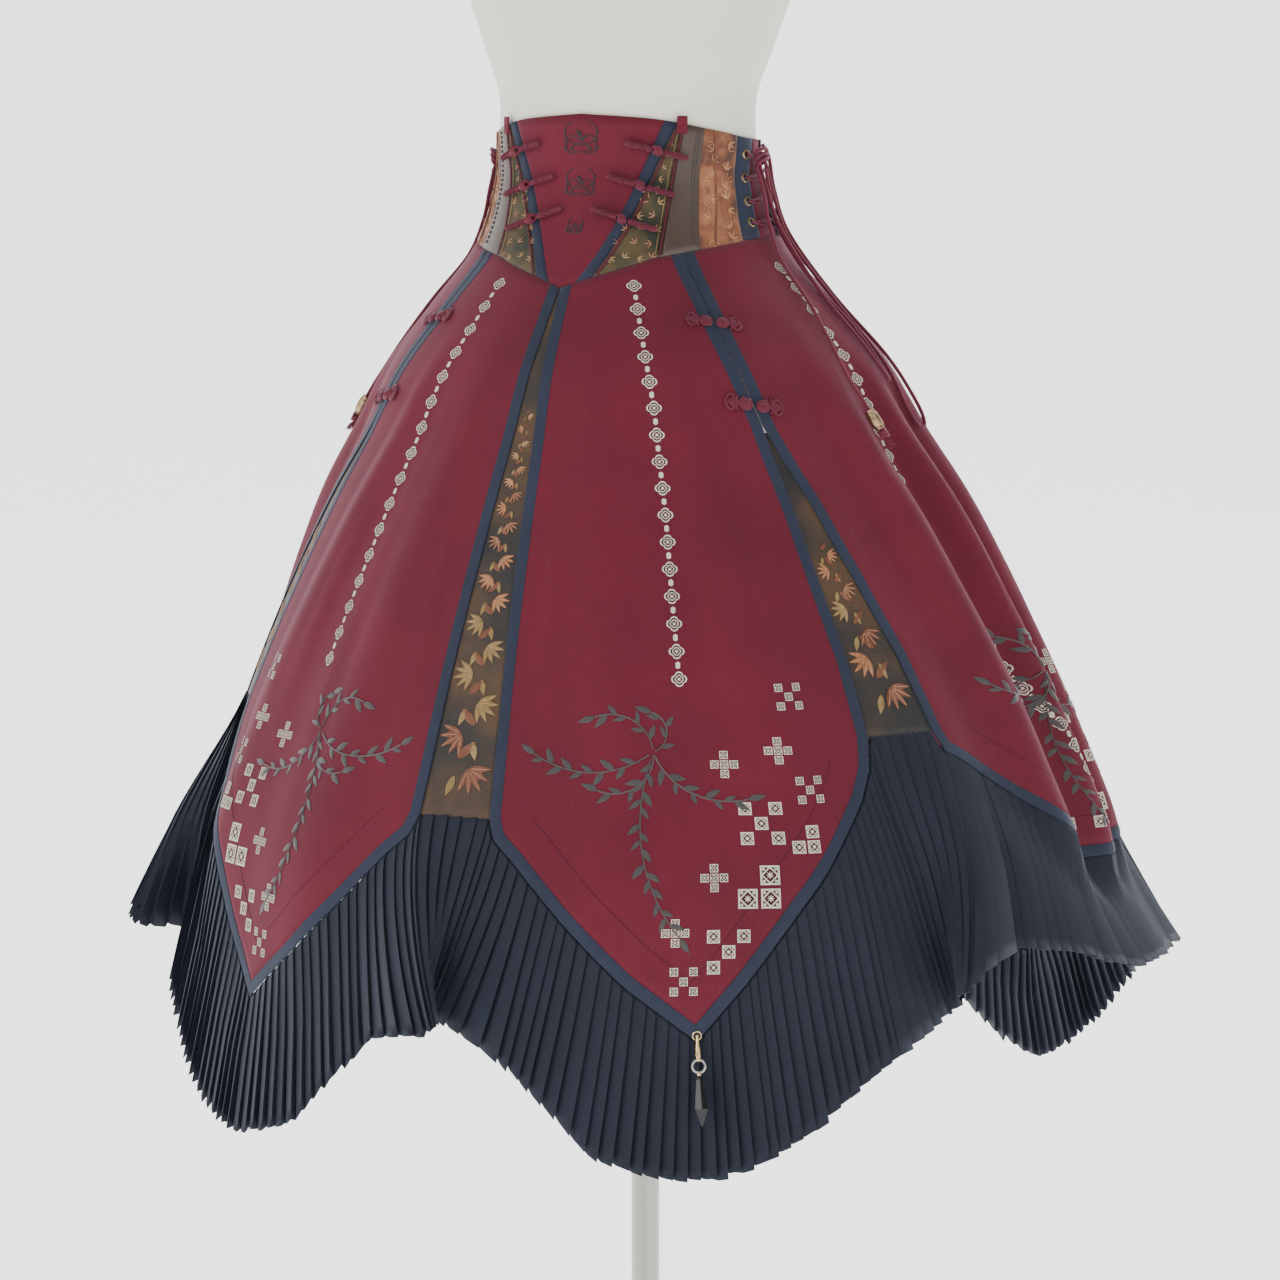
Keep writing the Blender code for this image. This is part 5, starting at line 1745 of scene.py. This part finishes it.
def lattice_square(bright, dim, spot, size):
    """A little tile: frame, turned square and star."""
    half = size / 2 * 1.30
    bright.band(spot, square(half), square(half * 0.80))
    bright.band(spot, square(half * 0.66, math.pi / 4), square(half * 0.50, math.pi / 4))
    bright.blot(spot, star(half * 0.30))
    if size > 0.010:
        for k in range(4):
            turn = k * math.pi / 2 + math.pi / 4
            reach = half * 0.62
            corner = square(half * 0.13) + np.array([reach * math.cos(turn), reach * math.sin(turn)])
            bright.blot(spot, corner)
    dim.blot(spot, square(half * 0.80), PRINT_OUT * 0.5)


def medallion(bright, dim, spot, size):
    half = size / 2
    outer = quatrefoil(half)
    bright.band(spot, outer, outer * 0.80)
    bright.band(spot, quatrefoil(half * 0.58), quatrefoil(half * 0.44))
    bright.blot(spot, star(half * 0.28, 0.5))
    dim.blot(spot, outer * 0.80, PRINT_OUT * 0.5)


CHAINS = (
    ((22.6, 1.005), (26.4, 0.906), (27.6, 0.826), (28.4, 0.740), (28.8, 0.695)),
    (
        (80.5, 1.018), (78.8, 0.976), (80.8, 0.896), (82.0, 0.808), (86.0, 0.740), (91.0, 0.680),
        (95.0, 0.640), (97.3, 0.595),
    ),
    ((147.0, 0.990), (148.5, 0.900), (150.0, 0.820), (150.0, 0.700), (150.0, 0.600)),
)
CHAIN_STEP = 0.0225
MEDALLION = 0.0125


def link_shape(turn):
    """The small link between two medallions: narrow at its sides, longer up and down."""
    place = np.arange(len(turn))
    return np.where(place % 4 == 0, 0.0018, 0.0030 - 0.0004 * (place % 2))


def make_chains(bright, dim):
    for chain in CHAINS:
        angles = np.array([p[0] for p in chain])
        heights = np.array([p[1] for p in chain])
        fine = np.linspace(0, len(chain) - 1, 400)
        angle = np.interp(fine, range(len(chain)), angles)
        z = np.interp(fine, range(len(chain)), heights)
        line = cloth(angle, z, 0.0)
        length = np.concatenate([[0.0], np.cumsum(np.linalg.norm(np.diff(line, axis=0), axis=1))])
        for k in range(int(length[-1] / CHAIN_STEP) + 1):
            here = float(np.interp(k * CHAIN_STEP, length, angle))
            up = float(np.interp(k * CHAIN_STEP, length, z))
            medallion(bright, dim, (here, up, 0.0), MEDALLION)
            here = float(np.interp((k + 0.5) * CHAIN_STEP, length, angle))
            up = float(np.interp((k + 0.5) * CHAIN_STEP, length, z))
            if (k + 0.5) * CHAIN_STEP < length[-1]:
                bright.blot((here, up, 0.0), round_outline(8, link_shape))


PLUS = ((0, 0), (1, 0), (-1, 0), (0, 1), (0, -1))
CROSS = ((0, 0), (1, 1), (-1, 1), (1, -1), (-1, -1))
Cluster = namedtuple("Cluster", "angle z size layout")
CLUSTERS = {
    "front": (
        Cluster(38.5, 0.540, 0.0165, PLUS), Cluster(33.6, 0.500, 0.0110, CROSS), Cluster(
            44.0, 0.578, 0.0110, PLUS
        ),
        Cluster(38.0, 0.596, 0.0110, CROSS), Cluster(44.5, 0.620, 0.0070, CROSS), Cluster(
            34.0, 0.640, 0.0070, PLUS
        ),
        Cluster(41.0, 0.650, 0.0070, PLUS), Cluster(28.5, 0.478, 0.0070, CROSS), Cluster(
            32.0, 0.556, 0.0070, PLUS
        ),
        Cluster(43.5, 0.690, 0.0070, CROSS), Cluster(27.5, 0.515, 0.0070, PLUS),
    ),
    "side": (
        Cluster(101.0, 0.572, 0.0165, PLUS), Cluster(94.0, 0.552, 0.0110, CROSS), Cluster(
            107.0, 0.610, 0.0110, PLUS
        ),
        Cluster(101.0, 0.632, 0.0110, CROSS), Cluster(107.0, 0.660, 0.0070, CROSS), Cluster(
            98.0, 0.672, 0.0070, PLUS
        ),
        Cluster(104.0, 0.690, 0.0070, PLUS), Cluster(89.5, 0.580, 0.0070, CROSS),
    ),
    "back": (
        Cluster(158.0, 0.560, 0.0165, PLUS), Cluster(152.0, 0.520, 0.0110, CROSS), Cluster(
            164.0, 0.600, 0.0110, PLUS
        ),
        Cluster(158.0, 0.620, 0.0110, CROSS), Cluster(164.0, 0.655, 0.0070, CROSS), Cluster(
            154.0, 0.665, 0.0070, PLUS
        ),
        Cluster(148.0, 0.560, 0.0070, CROSS),
    ),
}


def inside(outline, angle, z):
    """Whether a place lies within a closed outline of (angle, z) points."""
    found = False
    for (a1, z1), (a2, z2) in zip(outline, outline[1:] + outline[:1]):
        if (z1 > z) != (z2 > z) and angle < a1 + (z - z1) / (z2 - z1) * (a2 - a1):
            found = not found
    return found


def make_clusters(bright, dim):
    for kind, group in CLUSTERS.items():
        for cluster in group:
            outline = petal_line(kind, BINDING_WIDTH + cluster.size * 0.75)
            step = cluster.size * 1.08
            across = float(metres_per_degree(cluster.angle, cluster.z))
            along = float(slope_length(cluster.z))
            for i, j in cluster.layout:
                angle = cluster.angle + i * step / across
                z = cluster.z + j * step / along
                if inside(outline, angle, z):
                    lattice_square(bright, dim, (angle, z, 0.0), cluster.size)


def make_prints():
    bright = Decal()
    dim = Decal()
    make_chains(bright, dim)
    make_clusters(bright, dim)
    bright.mirrored_piece("petal_print", IVORY, "burgundy_twill")
    dim.mirrored_piece("petal_print_ground", BURGUNDY_DARK, "burgundy_twill")


def leaf(length, width, raised=0.0006):
    """A pointed leaf: outline and raised mid-rib, root at the origin, tip along X."""
    share = np.linspace(0, 1, 9)
    half = width / 2 * np.sin(math.pi * share ** 0.8)
    upper = np.stack([share * length, half, 0 * share], axis=-1)
    rib = np.stack([share * length, 0 * share, raised * np.sin(math.pi * share)], axis=-1)
    lower = np.stack([share * length, -half, 0 * share], axis=-1)
    points = np.concatenate([upper, rib, lower])
    faces = []
    for k in range(8):
        faces.append((9 + k, 9 + k + 1, k + 1, k))
        faces.append((18 + k, 18 + k + 1, 9 + k + 1, 9 + k))
    return points, faces


def lay_leaf(batch, angle, z, turn, length, width, out, raised=0.0006):
    points, faces = leaf(length, width, raised)
    batch.add(unit_at(angle, z, turn, points, out), faces)


def stem(batch, outline, angle, z, turn, length, bend, radius, out, leaves, rng, leaf_length):
    """A curved stem with pairs of leaves along it, in the cloth's surface."""
    share = np.linspace(0, 1, 24)
    heading = turn + bend * share
    step = length / 23
    u = np.cumsum(np.cos(heading)) * step
    v = np.cumsum(np.sin(heading)) * step
    line = np.stack([u, v], axis=-1)
    across = float(metres_per_degree(angle, z))
    along = float(slope_length(z))
    within = [inside(outline, angle + a / across, z + b / along) for a, b in line]
    last = within.index(False) if False in within else len(within)
    if last > 3:
        batch.tube(unit_at(angle, z, 0.0, line[:last], out), radius, 5)
    for k in range(leaves):
        i = 3 + int(k * 20 / max(1, leaves))
        side = 1 if k % 2 else -1
        here = angle + u[i] / across
        up = z + v[i] / along
        size = leaf_length * rng.uniform(0.8, 1.15)
        if i >= last:
            continue
        lay_leaf(batch, here, up, heading[i] + side * rng.uniform(0.5, 0.9), size, size * 0.36, out)
    if last == len(within):
        end = (angle + u[-1] / across, z + v[-1] / along)
        lay_leaf(batch, end[0], end[1], heading[-1], leaf_length * 1.1, leaf_length * 0.4, out)


SPRAYS = (("front", 25.0, 0.650), ("side", 95.0, 0.690), ("back", 148.0, 0.660))


def make_sprays():
    """Charcoal leaf scrolls, set where the photograph has its dark embroidery."""
    batch = Batch()
    rng = random.Random(11)
    for kind, angle, z in SPRAYS:
        outline = petal_line(kind, BINDING_WIDTH + 0.012)
        for turn, length, bend in (
            (-1.9, 0.150, 0.9), (-2.5, 0.095, -1.2), (-1.2, 0.085, 1.4), (1.7, 0.060, 1.8),
            (-1.5, 0.060, -2.0), (0.4, 0.040, 2.4),
        ):
            stem(
                batch, outline, angle, z, turn, length, bend, 0.0006, 0.0004, max(4, int(length / 0.009)),
                rng, 0.013,
            )
    points = np.concatenate(batch.points)
    batch.add(mirrored(points), [tuple(reversed(face)) for face in batch.faces])
    batch.piece("petal_embroidery", GREY_THREAD, "burgundy_twill")


def make_plastron_scrolls():
    """Scrolling lines of dark thread in three groups down the front of the corset."""
    batch = Batch()
    for z, size in ((1.118, 1.15), (1.083, 1.0), (1.050, 0.55)):
        for side in (-1, 1):
            for turn, length, bend, lift in (
                (0.1, 0.026, 2.9, -0.001), (0.9, 0.020, -3.6, 0.002), (-0.6, 0.020, 3.4, -0.004),
                (0.5, 0.013, -4.2, 0.000),
            ):
                share = np.linspace(0, 1, 26)
                heading = turn + bend * share ** 1.3
                step = length * size / 25 * (1.25 - 0.5 * share)
                u = np.cumsum(np.cos(heading) * step) * side
                v = np.cumsum(np.sin(heading) * step) + lift * size
                line = unit_at(0.0, z, 0.0, np.stack([u, v], axis=-1), 0.0003)
                batch.tube(line, 0.00045, 5)
                tip = float(heading[12])
                lay_leaf(
                    batch,
                    float(u[12] / metres_per_degree(0.0, z)),
                    z + float(v[12]),
                    tip if side > 0 else math.pi - tip,
                    0.0045 * size,
                    0.0020 * size,
                    0.0003,
                )
        for k in range(3):
            lay_leaf(
                batch, 0.0, z + (0.002 + 0.002 * k) * size, math.pi / 2 + (k - 1) * 0.7, 0.006 * size,
                0.0022 * size, 0.0004,
            )
    batch.piece("plastron_embroidery", BLACK_THREAD, "burgundy_twill")


FACING_LINE = 0.034


def make_facing_lines():
    """The ridge that the inner facing's edge presses into each petal, drawn as a thin raised line in darker burgundy:
    its dark colour is painted shade along the ridge.
    """
    batch = Batch()
    for kind in PETALS:
        outline, first, count = petal_outline(kind)
        line = inset_line(outline, FACING_LINE)[first + 1 : first + count - 1]
        fine = divided(line, 5)
        batch.both_tubes(on_cloth(fine, -0.0001), 0.00035, 4)
    # Painted shade: the facing lines are coloured darker to stand for the shade along the ridge
    batch.piece("petal_facing_ridge_shade", BURGUNDY_DARK, "burgundy_twill")


INSERT_MOTIFS = ((0, 1), (180, 1), (60, 2), (120, 2))


def fan(batch, line_batch, spot, size, blades, spread, out):
    """Blades fanned from a root, each with a pale mid line."""
    angle, z, turn = spot
    for k in range(blades):
        lean = turn + spread * (k / (blades - 1) - 0.5)
        length = size * (1.0 - 0.22 * abs(k / (blades - 1) - 0.5))
        lay_leaf(batch, angle, z, lean, length, size * 0.24, out, 0.0003)
        mid = np.array([(length * 0.15, 0.0), (length * 0.5, 0.0), (length * 0.86, 0.0)])
        line_batch.tube(unit_at(angle, z, lean, mid, out + 0.0003), 0.00022, 4)


def make_insert_prints():
    copper, ochre, russet, cream = Batch(), Batch(), Batch(), Batch()
    rng = random.Random(23)
    out = -INSERT_SUNK + 0.0002
    for slit, sides in INSERT_MOTIFS:
        row = SLITS[slit]
        start = slit_row_z(slit, PETAL_ROWS[row.closed_rows])
        mine = [Batch(), Batch(), Batch(), Batch()]
        z = start - 0.10
        turn_side = 1
        while z > row.insert_bottom + 0.012:
            middle = slit_angle(slit, z)
            half = slit_open(slit, z) - 0.002
            size = min(half * 1.15, 0.034)
            if size > 0.006:
                across = float(metres_per_degree(middle, z))
                u = turn_side * half * 0.22
                spot = (middle + u / across, z, -math.pi / 2 + turn_side * rng.uniform(0.5, 1.3))
                kind = mine[rng.choice((0, 0, 1, 2))]
                if half > size * 0.6:
                    fan(kind, mine[3], spot, size * 0.78, 5, 1.9, out)
                lay_leaf(
                    mine[2], middle - u / across, z + size * 0.25, math.pi / 2 - turn_side * 0.8,
                    size * 0.7, size * 0.26, out,
                )
                lay_leaf(
                    mine[1], middle - u / across, z - size * 0.2, -math.pi / 2 - turn_side * 0.3,
                    size * 0.6, size * 0.22, out,
                )
            turn_side = -turn_side
            z -= max(0.010, size * 0.95)
        for batch, own in zip((copper, ochre, russet, cream), mine):
            if not own.points:
                continue
            points = np.concatenate(own.points)
            batch.add(points, own.faces)
            if sides == 2:
                batch.add(mirrored(points), [tuple(reversed(face)) for face in own.faces])
    for name, batch, material in (
        ("insert_fans", copper, COPPER), ("insert_leaves", ochre, OCHRE),
        ("insert_shadows", russet, RUSSET), ("insert_lines", cream, CREAM_LINE),
    ):
        if batch.points:
            batch.piece(name, material, "dark_printed_cloth")


def seam_angle(seam, down):
    return seam.top_angle + (seam.low_angle - seam.top_angle) * down


def make_corset_prints():
    ochre, russet, orange, cream = Batch(), Batch(), Batch(), Batch()
    rng = random.Random(8)
    for left, right, first, second, size in (
        (V_OUTER, PRINT_FRONT_SIDE, ochre, russet, 0.012),
        (SATIN_SIDE, PRINT_SIDE_SIDE, orange, russet, 0.015),
    ):
        for down in np.arange(0.10, 0.97, 0.085):
            a, b = seam_angle(left, down), seam_angle(right, down)
            middle = (a + b) / 2
            z = float(top_z(middle) + (waist_z(middle) - top_z(middle)) * down)
            across = float(metres_per_degree(middle, z))
            width = (b - a) * across - 0.004
            count = max(1, int(width / (size * 0.85)))
            for k in range(count):
                here = middle + ((k + 0.5) / count - 0.5) * width / across
                scale = min(size, width * 0.55)
                if scale < 0.003:
                    continue
                spot = (here, z, rng.uniform(0, 2 * math.pi))
                fan(first if rng.random() < 0.6 else second, cream, spot, scale * 0.55, 3, 1.5, 0.0002)
    for name, batch, material in (
        ("corset_print_ochre", ochre, OCHRE), ("corset_print_russet", russet, RUSSET),
        ("corset_print_orange", orange, ORANGE), ("corset_print_lines", cream, CREAM_LINE),
    ):
        points = np.concatenate(batch.points)
        batch.add(mirrored(points), [tuple(reversed(face)) for face in batch.faces])
        batch.piece(name, material, "dark_printed_cloth")


make_prints()
make_sprays()
make_plastron_scrolls()
make_facing_lines()
make_insert_prints()
make_corset_prints()


# Floor, light and background


def make_stage():
    nodes = Nodes("pale_floor", 0.9, Emission_Strength=BACKDROP_GLOW)
    nodes.shader.inputs["Emission Color"].default_value = (1.0, 1.0, 1.0, 1.0)
    nodes.colour(nodes.ramp(nodes.noise(2.0, 2.0), [(0.3, (0.88, 0.88, 0.88)), (0.7, (0.90, 0.90, 0.90))]))
    data = bpy.data.meshes.new("floor")
    half, front, rear, high, bend = 16.0, -14.0, 9.0, 13.0, 3.0
    profile = [(front, 0.0)]
    for k in range(13):
        turn = k / 12 * math.pi / 2
        profile.append((rear - bend + bend * math.sin(turn), bend - bend * math.cos(turn)))
    profile.append((rear, high))
    points = [(x, y, z) for y, z in profile for x in (-half, half)]
    faces = [(2 * k, 2 * k + 1, 2 * k + 3, 2 * k + 2) for k in range(len(profile) - 1)]
    data.from_pydata(points, [], faces)
    data.shade_smooth()
    data.materials.append(nodes.material)
    floor = bpy.data.objects.new("floor", data)
    floor.rotation_euler = (0, 0, CAMERA_AZIMUTH)
    bpy.context.scene.collection.objects.link(floor)


def add_light(name, place, size, power):
    data = bpy.data.lights.new(name, "AREA")
    data.energy = power
    data.size = size
    lamp = bpy.data.objects.new(name, data)
    lamp.location = place
    lamp.rotation_euler = (Vector((0, 0, 0.75)) - Vector(place)).to_track_quat("-Z", "Y").to_euler()
    bpy.context.scene.collection.objects.link(lamp)


def make_lights():
    world = bpy.data.worlds.new("studio")
    bpy.context.scene.world = world
    world.use_nodes = True
    background = world.node_tree.nodes["Background"]
    background.inputs["Color"].default_value = (1.0, 1.0, 1.0, 1.0)
    background.inputs["Strength"].default_value = WORLD_STRENGTH
    for name, place, size, power in LIGHTS:
        add_light(name, place, size, power)


WORLD_STRENGTH = 0.45
BACKDROP_GLOW = 1.6
LIGHTS = (
    ("key", (-1.8, -3.6, 2.9), 2.4, 95.0),
    ("fill", (3.4, -2.6, 2.2), 3.0, 60.0),
    ("back_wash", (0.0, 2.2, 4.2), 3.5, 70.0),
)
make_stage()
make_lights()
